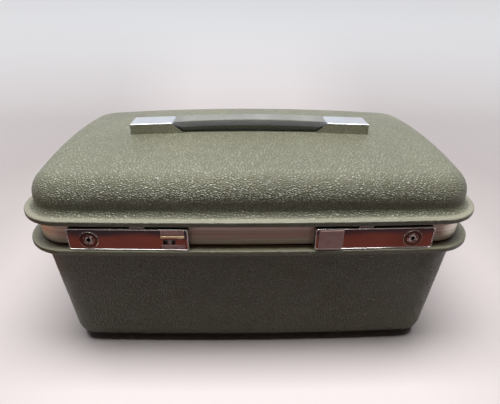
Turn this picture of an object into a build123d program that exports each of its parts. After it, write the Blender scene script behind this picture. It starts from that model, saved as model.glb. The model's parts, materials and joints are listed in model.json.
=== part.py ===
"""Small hard-shell travel case: two moulded shells, metal rim bands, two slide latches with
key locks, two hinges, and a strap grip that lifts between two end brackets on the lid.

Millimetres. +X runs to the right of the case, +Y to its hinges and +Z up. The origin is on
the floor under the middle of the case.
"""

from build123d import *
from math import asin, cos, degrees, radians, sin, sqrt, tan
import os

os.makedirs("parts", exist_ok=True)

# Plan of the case
case_width = 380.0
case_depth = 230.0
front_bow = 4.5
side_bow = 2.5
corner_radius = 39.0

# Heights
foot_height = 4.0
base_height = 117.2
band_gap = 22.2
flange_thickness = 4.65
lid_height = 42.6

# Shells
shell_wall = 3.0
wall_taper = 4.8
base_wall_inset = 8.9
base_edge_radius = 15.0
lid_wall_inset = 8.3
crown_sag_x = 6.0
crown_sag_y = 7.0
shoulder_radius = 20.0
flange_edge_radius = 1.2
base_cove_radius = 4.0
lid_cove_radius = 3.0

# Rim bands
band_inset = 8.5
band_wall = 1.5
parting_below_lid = 4.2
parting_gap = 0.4
leg_wall = 1.2
base_leg_depth = 12.2
lid_leg_height = 8.6
lip_height = 8.4
lip_overlap = 0.5
lip_clearance = 0.4

# Linings
lining_wall = 1.2
lid_lining_drop = 5.0
lining_shoulder_radius = 10.0
base_lining_lift = 1.2

# Feet
foot_radius = 8.0
foot_spacing_x = 270.0
foot_spacing_y = 130.0
foot_edge_radius = 1.0
foot_rivet_radius = 1.5
foot_rivet_head_radius = 3.0
foot_rivet_head = 1.2
foot_rivet_sink = 0.3

# Hinges
hinge_margin = 95.0
hinge_length = 52.0
hinge_leaf = 1.2
lid_leaf_thickness = 1.5
knuckle_radius = 2.9
knuckle_run = 44.0
lid_knuckle_length = 16.0
knuckle_end_gap = 0.3
knuckle_side_gap = 0.4
hinge_pin_radius = 1.2
pin_head_radius = 1.9
pin_head = 1.0
hinge_stop_angle = 102.0
stop_tab = 1.2
hinge_rivet_spacing = 20.0
hinge_rivet_drop = 9.4

# Small rivets and screws
rivet_radius = 1.2
rivet_head_radius = 1.9
rivet_head = 0.7
rivet_tail = 1.2
screw_radius = 0.8
screw_head_radius = 1.5
screw_head = 0.9
screw_length = 5.0

# Latches
latch_margin = 92.75
latch_length = 95.0
latch_height = 19.3
latch_depth = 7.2
latch_wall = 1.2
latch_plate = 1.2
latch_corner = 2.0
latch_rim_width = 0.9
latch_rim_height = 0.4
latch_floor_gap = 0.8
stud_radius = 1.5
stud_inset = 4.25
stud_run = 62.5
nut_radius = 2.9
nut_height = 2.0
stud_end = 0.5

# Latch slide
pad_width = 19.3
pad_margin = 2.75
pad_thickness = 1.2
pad_lift = 0.2
recess_depth = 0.5
strip_height = 1.6
strip_rise = 2.35
stem_width = 3.2
stem_height = 4.0
stem_drop = 2.4
stem_side_gap = 0.35
slide_travel = 5.6
slide_end_gap = 0.4
left_slide_rest = 2.6
bolt_thickness = 1.6
bolt_gap = 1.2
rail_height = 3.4
rail_gap = 0.4
bolt_length = 54.0
spring_wire = 0.4
spring_waves = 6

# Guides on the latch's back plate, and the post behind its spring
guide_width = 3.0
guide_lip = 0.9
post_width = 1.5

# Hook on the lid and the bolt's nose
hook_place = -9.25
hook_width = 4.0
hook_barb = 2.5
hook_barb_height = 2.0
hook_floor_gap = 1.0
hook_leg = 1.6
nose_height = 2.0
nose_length = 1.1
nose_gap = 0.4
upright_width = 4.0
strike_width = 11.0

# Key locks
lock_place = 30.75
lock_drop = 0.65
lock_ring_radius = 7.5
lock_ring_height = 0.8
lock_plug_radius = 4.5
lock_plug_proud = 0.5
lock_sleeve_wall = 1.4
lock_sleeve_depth = 1.6
cam_length = 6.2
cam_width = 3.0
cam_thickness = 1.2
key_hole_radius = 1.3
key_slot_width = 1.1
key_slot_length = 3.2
key_depth = 2.5

# Handle
bracket_reach = 112.5
bracket_mouth = 74.0
bracket_toe = 63.0
bracket_toe_height = 0.8
bracket_depth = 24.0
bracket_height = 9.6
bracket_wall = 1.2
bracket_edge_radius = 0.8
bracket_stud_offset = 9.0
backing_thickness = 1.5
backing_length = 29.0
backing_width = 26.0
handle_nut_height = 2.4
grip_depth = 20.6
grip_thickness = 10.8
grip_clearance = 1.0
grip_edge_radius = 3.2
grip_half_length = 72.0
grip_undercut_length = 8.5
grip_undercut_height = 2.0
grip_bend = 15.0
bend_gap = 0.3
strap_thickness = 1.8
strap_width = 14.0
strap_cover = 1.6
strap_pivot = 76.0
strap_end = 104.0
strap_head_width = 19.0
strap_head_length = 5.0
strap_fit = 0.05
handle_lift = 20.0

# Tray
tray_depth = 29.0
tray_wall = 2.0
tray_inset = 16.4
tray_below_band = 2.2
tray_edge_radius = 4.0
tray_divider = 62.0
tray_divider_height = 16.0
tray_rim = 1.2
tray_rim_height = 2.0
tray_slot_length = 44.0
tray_slot_height = 9.0
tray_slot_drop = 10.0
ledge_width = 9.0
ledge_thickness = 2.4
ledge_length = 110.0

# Mirror
mirror_width = 150.0
mirror_depth = 104.0
mirror_corner = 6.0
mirror_rim = 7.0
mirror_lip = 2.0
mirror_lip_height = 0.8
mirror_glass_thickness = 3.0
mirror_drop = 6.8

# Fits
running_clearance = 0.05
rivet_clearance = 0.1
seat_gap = 0.3

# Levels that follow from the sizes above
base_flange_top = foot_height + base_height
lid_flange_bottom = base_flange_top + band_gap
lid_flange_top = lid_flange_bottom + flange_thickness
crown_top = lid_flange_bottom + lid_height
parting_level = lid_flange_bottom - parting_below_lid
cavity_floor = foot_height + shell_wall

# Radii of the crown's two curves
crown_half_width = case_width / 2 - lid_wall_inset
crown_half_depth = case_depth / 2 - lid_wall_inset
crown_radius_x = (crown_half_width**2 + crown_sag_x**2) / (2 * crown_sag_x)
crown_radius_y = (crown_half_depth**2 + crown_sag_y**2) / (2 * crown_sag_y)


def case_outline(inset: float) -> Sketch:
    """Plan of the case at one inset: four bowed sides joined by round corners."""
    half_x = case_width / 2 - inset
    half_y = case_depth / 2 - inset
    corner_x = half_x - side_bow
    corner_y = half_y - front_bow
    with BuildSketch() as outline:
        with BuildLine():
            ThreePointArc((-corner_x, -corner_y), (0, -half_y), (corner_x, -corner_y))
            ThreePointArc((corner_x, -corner_y), (half_x, 0), (corner_x, corner_y))
            ThreePointArc((corner_x, corner_y), (0, half_y), (-corner_x, corner_y))
            ThreePointArc((-corner_x, corner_y), (-half_x, 0), (-corner_x, -corner_y))
        make_face()
        fillet(outline.vertices(), radius=corner_radius - inset)
    return outline.sketch


def bow_radius(inset: float) -> float:
    """Radius of an outline's bowed front and back."""
    half_chord = case_width / 2 - inset - side_bow
    return (half_chord**2 + front_bow**2) / (2 * front_bow)


def front_reach(x: float, inset: float) -> float:
    """How far an outline's bowed front and back stand out from the middle at x."""
    radius = bow_radius(inset)
    return case_depth / 2 - inset - radius + sqrt(radius**2 - x**2)


def taper_at(level: float) -> float:
    """How far the base's wall has drawn in at a level below its flange's top."""
    return (base_flange_top - level) * tan(radians(wall_taper))


def crown_level(x: float) -> float:
    """Height of the lid's crown above the middle line at x."""
    return crown_top - crown_radius_x + sqrt(crown_radius_x**2 - x**2)


def outline_block(outer_inset: float, bottom: float, top: float, inner_inset: float = 0) -> Part:
    """Upright block on the case's plan, or a ring where an inner inset is given."""
    with BuildPart() as block:
        with BuildSketch(Plane.XY.offset(bottom)):
            add(case_outline(outer_inset))
            if inner_inset:
                add(case_outline(inner_inset), mode=Mode.SUBTRACT)
        extrude(amount=top - bottom)
    return block.part


def flange_form(bottom: float) -> Part:
    """Flat flange that a shell's rim turns out into, with eased edges."""
    with BuildPart() as flange:
        with BuildSketch(Plane.XY.offset(bottom)):
            add(case_outline(0))
        extrude(amount=flange_thickness)
        rims = flange.faces().filter_by(Axis.Z).edges()
        fillet(rims, radius=flange_edge_radius)
    return flange.part


def base_form(inset: float, top: float, bottom: float, edge_radius: float) -> Part:
    """Tapered block that follows the base's wall, with a round lower edge.

    The inset is the one that the wall would have at the level of the flange's top.
    """
    with BuildPart() as form:
        with BuildSketch(Plane.XY.offset(top)):
            add(case_outline(inset + taper_at(top)))
        extrude(amount=top - bottom, dir=(0, 0, -1), taper=wall_taper)
        fillet(form.faces().sort_by(Axis.Z)[0].edges(), radius=edge_radius)
    return form.part


def crown_block(drop: float) -> Part:
    """Block whose top follows the lid's double curve, lowered by a drop."""
    radius = crown_radius_y - drop
    reach = case_depth
    with BuildPart() as block:
        for place in (-case_width, 0, case_width):
            top = crown_level(place) - drop
            edge = top - radius + sqrt(radius**2 - reach**2)
            with BuildSketch(Plane.YZ.offset(place)):
                with BuildLine():
                    crown = ThreePointArc((-reach, edge), (0, top), (reach, edge))
                    Polyline(crown @ 1, (reach, -case_depth), (-reach, -case_depth), crown @ 0)
                make_face()
        loft()
    return block.part


def lid_form(inset: float, bottom: float, drop: float, edge_radius: float) -> Part:
    """Domed block that follows the lid's wall and crown, with a round shoulder."""
    crown = crown_block(drop)
    with BuildPart() as form:
        with BuildSketch(Plane.XY.offset(bottom)):
            add(case_outline(inset))
        extrude(amount=crown_top + shell_wall - bottom)
        add(crown, mode=Mode.INTERSECT)
        fillet(form.faces().sort_by(Axis.Z)[-1].edges(), radius=edge_radius)
    return form.part


def export_pair(piece: Part, name: str) -> None:
    """Write a right-hand piece, and its mirror image as the left-hand one."""
    piece.label = f"right_{name}"
    export_step(piece, f"parts/right_{name}.step")
    left_piece = mirror(piece, about=Plane.YZ)
    left_piece.label = f"left_{name}"
    export_step(left_piece, f"parts/left_{name}.step")


# Plan of the hinges. Their pin lies level with the parting, just outside the bands
hinge_x = case_width / 2 - hinge_margin
hinge_inner_end = hinge_x - hinge_length / 2
leaf_face = front_reach(hinge_inner_end, band_inset) + hinge_leaf
pin_y = leaf_face + knuckle_radius - hinge_leaf / 2
lid_leaf_bottom = lid_flange_bottom - lid_leaf_thickness
pin_z = lid_leaf_bottom - knuckle_side_gap - knuckle_radius - seat_gap
hinge_rivet_z = pin_z - hinge_rivet_drop
hinge_screw_x = hinge_length / 2 - screw_head_radius - seat_gap

# Frame of the right latch, tangent to the bowed band. In its sketches x runs outwards
# along the band and y up, and its normal points away from the case
latch_x = case_width / 2 - latch_margin
latch_turn = asin(latch_x / bow_radius(band_inset))
latch_face = Plane(
    origin=(latch_x, -front_reach(latch_x, band_inset), 0),
    x_dir=(cos(latch_turn), sin(latch_turn), 0),
    z_dir=(sin(latch_turn), -cos(latch_turn), 0),
)
latch_plan = Plane(origin=latch_face.origin, x_dir=latch_face.x_dir, z_dir=(0, 0, 1))

latch_bottom = base_flange_top + latch_floor_gap
latch_top = latch_bottom + latch_height
latch_middle = latch_bottom + latch_height / 2
latch_inside = latch_depth - latch_wall
plate_top = parting_level - seat_gap

rail_bottom = latch_bottom + latch_wall + rail_gap
rail_top = rail_bottom + rail_height
bolt_back = latch_plate + bolt_gap
bolt_front = bolt_back + bolt_thickness
pad_place = pad_margin + pad_width / 2 - latch_length / 2
stem_level = latch_middle - stem_drop
slot_start = pad_place - stem_width / 2 - slide_end_gap
slot_length = stem_width + slide_travel + 2 * slide_end_gap
slot_place = slot_start + slot_length / 2
slot_height = stem_height + 2 * stem_side_gap

hook_bottom = rail_top + hook_floor_gap
hook_side = hook_place + hook_width / 2
barb_tip = hook_side + hook_barb
nose_tip = barb_tip + nose_gap
nose_bottom = hook_bottom + hook_barb_height + nose_gap
upright_start = nose_tip + nose_length
upright_end = upright_start + upright_width
bolt_start = pad_place - pad_width / 4
bolt_end = bolt_start + bolt_length
stop_post = bolt_end + slide_travel + seat_gap
spring_level = rail_top + slot_height / 2 + hook_floor_gap

lock_level = latch_middle - lock_drop
stud_level = lock_level
stud_places = [
    (latch_length / 2 - stud_inset, stud_level),
    (latch_length / 2 - stud_inset - stud_run, stud_level),
]
latch_rivet_places = [
    (-latch_length / 2 + rivet_head_radius + latch_wall, stud_level),
    (bolt_end + rivet_head_radius, rail_bottom + rivet_head_radius),
]

# Frame of the handle, in the XZ plane
strap_bottom = crown_top + grip_clearance + strap_cover
strap_top = strap_bottom + strap_thickness
bend_level = crown_top + grip_clearance
bend_place = grip_bend + bend_gap / 2
shoulder_run = strap_pivot - bend_place
lift_angle = handle_lift / shoulder_run
strap_slip = shoulder_run * (1 - cos(lift_angle))
head_start = strap_end - strap_head_length
stop_stud_x = head_start - strap_slip - seat_gap - stud_radius
end_stud_x = bracket_reach - bracket_wall - stud_radius - 4 * seat_gap
handle_stud_places = [
    (stop_stud_x, -bracket_stud_offset),
    (stop_stud_x, bracket_stud_offset),
    (end_stud_x, 0),
]

# Plan of the tray and its ledges
tray_top = base_flange_top - tray_below_band
tray_bottom = tray_top - tray_depth
ledge_top = tray_bottom - seat_gap
ledge_bottom = ledge_top - ledge_thickness

# Base shell: a tapered tub under a flat flange
base_wall = base_form(base_wall_inset, base_flange_top, foot_height, base_edge_radius)
base_flange = flange_form(base_flange_top - flange_thickness)
base_cavity = base_form(
    base_wall_inset + shell_wall, base_flange_top, cavity_floor, base_edge_radius - shell_wall
)

with BuildPart() as base_shell:
    add(base_wall)
    add(base_flange)
    junction = base_shell.edges(Select.NEW).filter_by_position(
        Axis.Z, base_flange_top - 1.5 * flange_thickness, base_flange_top - flange_thickness / 2
    )
    fillet(junction, radius=base_cove_radius)
    add(base_cavity, mode=Mode.SUBTRACT)
    with BuildSketch(Plane.XY.offset(foot_height)):
        with GridLocations(foot_spacing_x, foot_spacing_y, 2, 2):
            Circle(foot_rivet_radius + rivet_clearance)
    extrude(amount=shell_wall, mode=Mode.SUBTRACT)

base_shell.part.label = "base_shell"
export_step(base_shell.part, "parts/base_shell.step")

# Feet, each with a well for its rivet's head
with BuildPart() as feet:
    with BuildSketch():
        with GridLocations(foot_spacing_x, foot_spacing_y, 2, 2):
            Circle(foot_radius)
    extrude(amount=foot_height)
    fillet(feet.faces().group_by(Axis.Z)[0].edges(), radius=foot_edge_radius)
    with BuildSketch():
        with GridLocations(foot_spacing_x, foot_spacing_y, 2, 2):
            Circle(foot_rivet_head_radius + rivet_clearance)
    extrude(amount=foot_rivet_sink + foot_rivet_head, mode=Mode.SUBTRACT)
    with BuildSketch():
        with GridLocations(foot_spacing_x, foot_spacing_y, 2, 2):
            Circle(foot_rivet_radius + rivet_clearance)
    extrude(amount=foot_height, mode=Mode.SUBTRACT)

feet.part.label = "feet"
export_step(feet.part, "parts/feet.step")

# Rivets that hold the feet, spread over the floor inside
with BuildPart() as foot_rivets:
    with BuildSketch(Plane.XY.offset(foot_rivet_sink)):
        with GridLocations(foot_spacing_x, foot_spacing_y, 2, 2):
            Circle(foot_rivet_head_radius)
    extrude(amount=foot_rivet_head)
    with BuildSketch(Plane.XY.offset(foot_rivet_sink)):
        with GridLocations(foot_spacing_x, foot_spacing_y, 2, 2):
            Circle(foot_rivet_radius)
    extrude(amount=cavity_floor - foot_rivet_sink)
    with BuildSketch(Plane.XY.offset(cavity_floor)):
        with GridLocations(foot_spacing_x, foot_spacing_y, 2, 2):
            Circle(foot_rivet_head_radius)
    extrude(amount=base_lining_lift - seat_gap)

foot_rivets.part.label = "foot_rivets"
export_step(foot_rivets.part, "parts/foot_rivets.step")

# Base lining: a board tub that rests on the foot rivets
lining_top = base_flange_top - base_leg_depth - seat_gap
lining_floor = cavity_floor + base_lining_lift
lining_inset = base_wall_inset + shell_wall + seat_gap
lining_outside = base_form(
    lining_inset, lining_top, lining_floor, base_edge_radius - shell_wall - seat_gap
)
lining_inside = base_form(
    lining_inset + lining_wall,
    lining_top,
    lining_floor + lining_wall,
    base_edge_radius - shell_wall - seat_gap - lining_wall,
)

with BuildPart() as base_lining:
    add(lining_outside)
    add(lining_inside, mode=Mode.SUBTRACT)

base_lining.part.label = "base_lining"
export_step(base_lining.part, "parts/base_lining.step")

# Tray ledges on the lining's short walls
with BuildPart() as tray_ledges:
    with BuildSketch(Plane.XY.offset(ledge_bottom)):
        with Locations((-case_width / 2, 0), (case_width / 2, 0)):
            Rectangle(case_width / 2, ledge_length)
        inner_edge = lining_inset + lining_wall + taper_at(ledge_top) + ledge_width
        add(case_outline(inner_edge), mode=Mode.SUBTRACT)
    extrude(amount=ledge_thickness)
    add(lining_inside, mode=Mode.INTERSECT)

tray_ledges.part.label = "tray_ledges"
export_step(tray_ledges.part, "parts/tray_ledges.step")

# Lift-out tray with two dividers and a finger slot in each end
tray_outside = base_form(tray_inset, tray_top, tray_bottom, tray_edge_radius)
tray_inside = base_form(
    tray_inset + tray_wall, tray_top, tray_bottom + tray_wall, tray_edge_radius - tray_wall
)
divider_span = case_depth - 2 * tray_inset

with BuildPart() as dividers:
    with BuildSketch(Plane.XY.offset(tray_bottom + tray_wall)):
        with Locations((-tray_divider, 0), (tray_divider, 0)):
            Rectangle(tray_wall, divider_span)
    extrude(amount=tray_divider_height)
    add(tray_inside, mode=Mode.INTERSECT)

with BuildPart() as tray:
    add(tray_outside)
    with BuildSketch(Plane.XY.offset(tray_top - tray_rim_height)):
        add(case_outline(tray_inset + taper_at(tray_top) - tray_rim))
    extrude(amount=tray_rim_height)
    add(tray_inside, mode=Mode.SUBTRACT)
    add(dividers.part)
    tray_end = case_width / 2 - tray_inset
    with BuildSketch(Plane.YZ.offset(tray_end - 3 * tray_wall)):
        with Locations((0, tray_top - tray_slot_drop)):
            SlotOverall(tray_slot_length, tray_slot_height)
    slot_cut = extrude(amount=6 * tray_wall, mode=Mode.SUBTRACT)
    mirror(slot_cut, about=Plane.YZ, mode=Mode.SUBTRACT)

tray.part.label = "tray"
export_step(tray.part, "parts/tray.step")

# Base rim band: a web that shows, a ledge on the flange, a leg into the shell and a lip
# that guides the lid
leg_draw = taper_at(base_flange_top - base_leg_depth)
base_leg_inset = base_wall_inset + shell_wall + leg_draw + seat_gap
lid_leg_inset = lid_wall_inset + shell_wall + seat_gap
lip_inset = lid_leg_inset + leg_wall + lip_clearance
lip_top = lid_flange_bottom - band_wall + lip_overlap
lip_bottom = lip_top - lip_height

band_web = outline_block(band_inset, base_flange_top, parting_level, band_inset + band_wall)
band_ledge = outline_block(
    band_inset, base_flange_top, base_flange_top + band_wall, base_leg_inset + leg_wall
)
band_leg = outline_block(
    base_leg_inset,
    base_flange_top - base_leg_depth,
    base_flange_top + band_wall,
    base_leg_inset + leg_wall,
)
band_shelf = outline_block(
    band_inset + band_wall / 2, lip_bottom, lip_bottom + leg_wall, lip_inset + leg_wall
)
band_lip = outline_block(lip_inset, lip_bottom, lip_top, lip_inset + leg_wall)

with BuildPart() as base_band:
    add([band_web, band_ledge, band_leg, band_shelf, band_lip])
    with BuildSketch(latch_face.offset(latch_depth)):
        with Locations(*stud_places):
            Circle(stud_radius + rivet_clearance)
        with Locations(*latch_rivet_places):
            Circle(rivet_radius + rivet_clearance)
    latch_holes = extrude(amount=-latch_depth - 2 * band_wall, mode=Mode.SUBTRACT)
    mirror(latch_holes, about=Plane.YZ, mode=Mode.SUBTRACT)
    with BuildSketch(Plane.XZ.offset(-leaf_face)):
        with Locations((-hinge_x, hinge_rivet_z), (hinge_x, hinge_rivet_z)):
            with GridLocations(hinge_rivet_spacing, 0, 3, 1):
                Circle(rivet_radius + rivet_clearance)
    extrude(amount=3 * band_wall, mode=Mode.SUBTRACT)

base_band.part.label = "base_band"
export_step(base_band.part, "parts/base_band.step")

# Screws driven up into the lid's flange: two for each hinge and two for each hook plate
strike_plate = hook_leg
strike_bottom = lid_flange_bottom - strike_plate
strike_screw_reach = bolt_front + screw_head_radius + seat_gap
strike_screw_spacing = strike_width - 2 * screw_head_radius - 2 * seat_gap
strike_middle = hook_place + hook_barb / 2


def screw_row(plane: Plane, spacing: float, clearance: float = 0) -> Part:
    """Two countersunk screws on a plane, or the room that they need with a clearance."""
    with BuildPart(plane) as screws:
        with GridLocations(spacing, 0, 2, 1):
            Cone(
                screw_head_radius + clearance,
                screw_radius + clearance,
                screw_head,
                align=(Align.CENTER, Align.CENTER, Align.MIN),
            )
            Cylinder(
                screw_radius + clearance,
                screw_length + clearance,
                align=(Align.CENTER, Align.CENTER, Align.MIN),
            )
    return screws.part


hinge_screw_plane = Plane(origin=(hinge_x, pin_y, lid_leaf_bottom), z_dir=(0, 0, 1))
strike_screw_plane = Plane(
    origin=latch_plan.from_local_coords((strike_middle, -strike_screw_reach, strike_bottom)),
    x_dir=latch_plan.x_dir,
    z_dir=(0, 0, 1),
)
hinge_screw_room = screw_row(hinge_screw_plane, 2 * hinge_screw_x, rivet_clearance)
strike_screw_room = screw_row(strike_screw_plane, strike_screw_spacing, rivet_clearance)

with BuildPart() as screw_rooms:
    for room in (hinge_screw_room, strike_screw_room):
        add(room)
        mirror(room, about=Plane.YZ)

# Lid shell: a crowned dome on a flat flange
lid_wall = lid_form(lid_wall_inset, lid_flange_bottom, 0, shoulder_radius)
lid_flange = flange_form(lid_flange_bottom)
lid_cavity = lid_form(
    lid_wall_inset + shell_wall, lid_flange_bottom, shell_wall, shoulder_radius - shell_wall
)

with BuildPart() as lid_shell:
    add(lid_wall)
    add(lid_flange)
    junction = lid_shell.edges(Select.NEW).filter_by_position(
        Axis.Z, lid_flange_top - flange_thickness / 2, lid_flange_top + flange_thickness / 2
    )
    fillet(junction, radius=lid_cove_radius)
    add(screw_rooms.part, mode=Mode.SUBTRACT)
    add(lid_cavity, mode=Mode.SUBTRACT)
    with BuildSketch(Plane.XY.offset(lid_flange_top)):
        for side in (-1, 1):
            with Locations(*[(side * x, y) for x, y in handle_stud_places]):
                Circle(stud_radius + rivet_clearance)
    extrude(amount=lid_height, mode=Mode.SUBTRACT)

lid_shell.part.label = "lid_shell"
export_step(lid_shell.part, "parts/lid_shell.step")

# Lid rim band: a short web, a ledge under the flange and a leg up inside the dome
lid_web = outline_block(
    band_inset, parting_level + parting_gap, lid_flange_bottom, band_inset + band_wall
)
lid_ledge = outline_block(
    band_inset, lid_flange_bottom - band_wall, lid_flange_bottom, lid_leg_inset + leg_wall
)
lid_leg = outline_block(
    lid_leg_inset,
    lid_flange_bottom - band_wall,
    lid_flange_bottom + lid_leg_height,
    lid_leg_inset + leg_wall,
)

with BuildPart() as lid_band:
    add([lid_web, lid_ledge, lid_leg])

lid_band.part.label = "lid_band"
export_step(lid_band.part, "parts/lid_band.step")

# Lid lining: a padded liner below the handle's nuts
lid_lining_bottom = lid_flange_bottom + lid_leg_height + seat_gap
ceiling_drop = shell_wall + lid_lining_drop + lining_wall
lid_lining_outside = lid_form(
    lid_leg_inset, lid_lining_bottom, shell_wall + lid_lining_drop, lining_shoulder_radius
)
lid_lining_inside = lid_form(
    lid_leg_inset + lining_wall,
    lid_lining_bottom,
    ceiling_drop,
    lining_shoulder_radius - lining_wall,
)

with BuildPart() as lid_lining:
    add(lid_lining_outside)
    add(lid_lining_inside, mode=Mode.SUBTRACT)

lid_lining.part.label = "lid_lining"
export_step(lid_lining.part, "parts/lid_lining.step")

# Mirror in the lid, held by the lip of its frame
mirror_bottom = crown_top - ceiling_drop - mirror_drop
mirror_seat = mirror_bottom + mirror_lip_height
glass_width = mirror_width - 2 * mirror_rim + 2 * mirror_lip
glass_depth = mirror_depth - 2 * mirror_rim + 2 * mirror_lip
ceiling = crown_block(ceiling_drop + seat_gap)

with BuildPart() as mirror_frame:
    with BuildSketch(Plane.XY.offset(mirror_bottom)):
        RectangleRounded(mirror_width, mirror_depth, mirror_corner)
        RectangleRounded(
            mirror_width - 2 * mirror_rim,
            mirror_depth - 2 * mirror_rim,
            mirror_corner / 2,
            mode=Mode.SUBTRACT,
        )
    extrude(amount=crown_top - mirror_bottom)
    with BuildSketch(Plane.XY.offset(mirror_seat)):
        Rectangle(glass_width + 2 * rivet_clearance, glass_depth + 2 * rivet_clearance)
    extrude(amount=crown_top - mirror_seat, mode=Mode.SUBTRACT)
    add(ceiling, mode=Mode.INTERSECT)

mirror_frame.part.label = "mirror_frame"
export_step(mirror_frame.part, "parts/mirror_frame.step")

with BuildPart() as mirror_glass:
    with BuildSketch(Plane.XY.offset(mirror_seat)):
        Rectangle(glass_width, glass_depth)
    extrude(amount=mirror_glass_thickness)

mirror_glass.part.label = "mirror_glass"
export_step(mirror_glass.part, "parts/mirror_glass.step")

# Hinge leaf on the base, with two knuckles and a notch for the lid's
base_knuckle_length = (knuckle_run - lid_knuckle_length) / 2 - knuckle_end_gap
base_knuckle_place = (knuckle_run - base_knuckle_length) / 2
pin_plane = Plane(origin=(hinge_x, pin_y, pin_z), x_dir=(0, 1, 0), z_dir=(1, 0, 0))
leaf_bottom = hinge_rivet_z - rivet_head_radius - hinge_leaf
leaf_height = parting_level - seat_gap - leaf_bottom
leaf_block_depth = 4 * hinge_leaf
band_outside = outline_block(band_inset, base_flange_top, lid_flange_bottom)

with BuildPart() as hinge_base_leaf:
    with BuildSketch(Plane.XZ.offset(-leaf_face)):
        with Locations((hinge_x, leaf_bottom + leaf_height / 2)):
            Rectangle(hinge_length, leaf_height)
    extrude(amount=leaf_block_depth)
    with Locations(
        (hinge_x - base_knuckle_place, pin_y, pin_z), (hinge_x + base_knuckle_place, pin_y, pin_z)
    ):
        Cylinder(knuckle_radius, base_knuckle_length, rotation=(0, 90, 0))
        Box(
            base_knuckle_length,
            pin_y - leaf_face + hinge_leaf / 2,
            knuckle_radius,
            align=(Align.CENTER, Align.MAX, Align.MAX),
        )
    add(band_outside, mode=Mode.SUBTRACT)
    with Locations((hinge_x, pin_y, pin_z)):
        Cylinder(
            knuckle_radius + knuckle_side_gap,
            lid_knuckle_length + 2 * knuckle_end_gap,
            rotation=(0, 90, 0),
            mode=Mode.SUBTRACT,
        )
        Cylinder(
            hinge_pin_radius + running_clearance,
            hinge_length,
            rotation=(0, 90, 0),
            mode=Mode.SUBTRACT,
        )
    with BuildSketch(Plane.XZ.offset(-leaf_face)):
        with Locations((hinge_x, hinge_rivet_z)):
            with GridLocations(hinge_rivet_spacing, 0, 3, 1):
                Circle(rivet_radius + rivet_clearance)
    extrude(amount=leaf_block_depth, mode=Mode.SUBTRACT)

export_pair(hinge_base_leaf.part, "hinge_base_leaf")

# Hinge leaf under the lid's flange, with one knuckle and two tabs that stop the lid
tab_face = pin_y + knuckle_radius - hinge_leaf / 2 + seat_gap
tab_reach = tab_face + stop_tab - pin_y
leaf_distance = pin_y - leaf_face
stop_turn = radians(hinge_stop_angle)
tab_drop = (leaf_distance + tab_reach * cos(stop_turn)) / sin(stop_turn)
tab_length = (hinge_length - knuckle_run) / 2 - knuckle_end_gap
tab_place = (hinge_length - tab_length) / 2
lid_leaf_start = front_reach(hinge_inner_end, band_inset) + seat_gap
lid_leaf_end = tab_face + stop_tab
knuckle_neck = 2 * knuckle_radius - 2 * hinge_leaf

with BuildPart() as hinge_lid_leaf:
    with Locations((hinge_x, lid_leaf_start, lid_leaf_bottom)):
        Box(
            hinge_length,
            lid_leaf_end - lid_leaf_start,
            lid_leaf_thickness,
            align=(Align.CENTER, Align.MIN, Align.MIN),
        )
    with Locations((hinge_x, pin_y, pin_z)):
        Cylinder(knuckle_radius, lid_knuckle_length, rotation=(0, 90, 0))
        Box(
            lid_knuckle_length,
            knuckle_neck,
            lid_leaf_bottom - pin_z,
            align=(Align.CENTER, Align.CENTER, Align.MIN),
        )
    tab_bottom = pin_z - tab_drop
    with Locations(
        (hinge_x - tab_place, tab_face, tab_bottom), (hinge_x + tab_place, tab_face, tab_bottom)
    ):
        Box(
            tab_length,
            stop_tab,
            lid_leaf_bottom - pin_z + tab_drop,
            align=(Align.CENTER, Align.MIN, Align.MIN),
        )
    with Locations((hinge_x, pin_y, pin_z)):
        Cylinder(
            hinge_pin_radius + running_clearance,
            hinge_length,
            rotation=(0, 90, 0),
            mode=Mode.SUBTRACT,
        )
    add(hinge_screw_room, mode=Mode.SUBTRACT)

export_pair(hinge_lid_leaf.part, "hinge_lid_leaf")

# Hinge pin, headed at both ends
with BuildPart() as hinge_pin:
    with Locations((hinge_x, pin_y, pin_z)):
        Cylinder(hinge_pin_radius, knuckle_run, rotation=(0, 90, 0))
    head_offset = knuckle_run / 2 + pin_head / 2
    with Locations((hinge_x - head_offset, pin_y, pin_z), (hinge_x + head_offset, pin_y, pin_z)):
        Cylinder(pin_head_radius, pin_head, rotation=(0, 90, 0))

export_pair(hinge_pin.part, "hinge_pin")

# Rivets through the base leaves and the band, headed outside and spread inside
band_inside = outline_block(band_inset + band_wall, base_flange_top + band_wall, parting_level)

with BuildPart() as hinge_rivets:
    with BuildSketch(Plane.XZ.offset(-leaf_face)):
        with Locations((-hinge_x, hinge_rivet_z), (hinge_x, hinge_rivet_z)):
            with GridLocations(hinge_rivet_spacing, 0, 3, 1):
                Circle(rivet_head_radius)
    tail_reach = hinge_leaf + band_wall + 2 * rivet_tail
    extrude(amount=tail_reach)
    add(band_inside, mode=Mode.INTERSECT)
    with BuildSketch(Plane.XZ.offset(-leaf_face - rivet_head)):
        with Locations((-hinge_x, hinge_rivet_z), (hinge_x, hinge_rivet_z)):
            with GridLocations(hinge_rivet_spacing, 0, 3, 1):
                Circle(rivet_head_radius)
    extrude(amount=rivet_head)
    with BuildSketch(Plane.XZ.offset(-leaf_face)):
        with Locations((-hinge_x, hinge_rivet_z), (hinge_x, hinge_rivet_z)):
            with GridLocations(hinge_rivet_spacing, 0, 3, 1):
                Circle(rivet_radius)
    extrude(amount=tail_reach)

hinge_rivets.part.label = "hinge_rivets"
export_step(hinge_rivets.part, "parts/hinge_rivets.step")

# Screws up into the lid's flange
hinge_screw_pair = screw_row(hinge_screw_plane, 2 * hinge_screw_x)
with BuildPart() as hinge_screws:
    add(hinge_screw_pair)
    mirror(hinge_screw_pair, about=Plane.YZ)

hinge_screws.part.label = "hinge_screws"
export_step(hinge_screws.part, "parts/hinge_screws.step")

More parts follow.
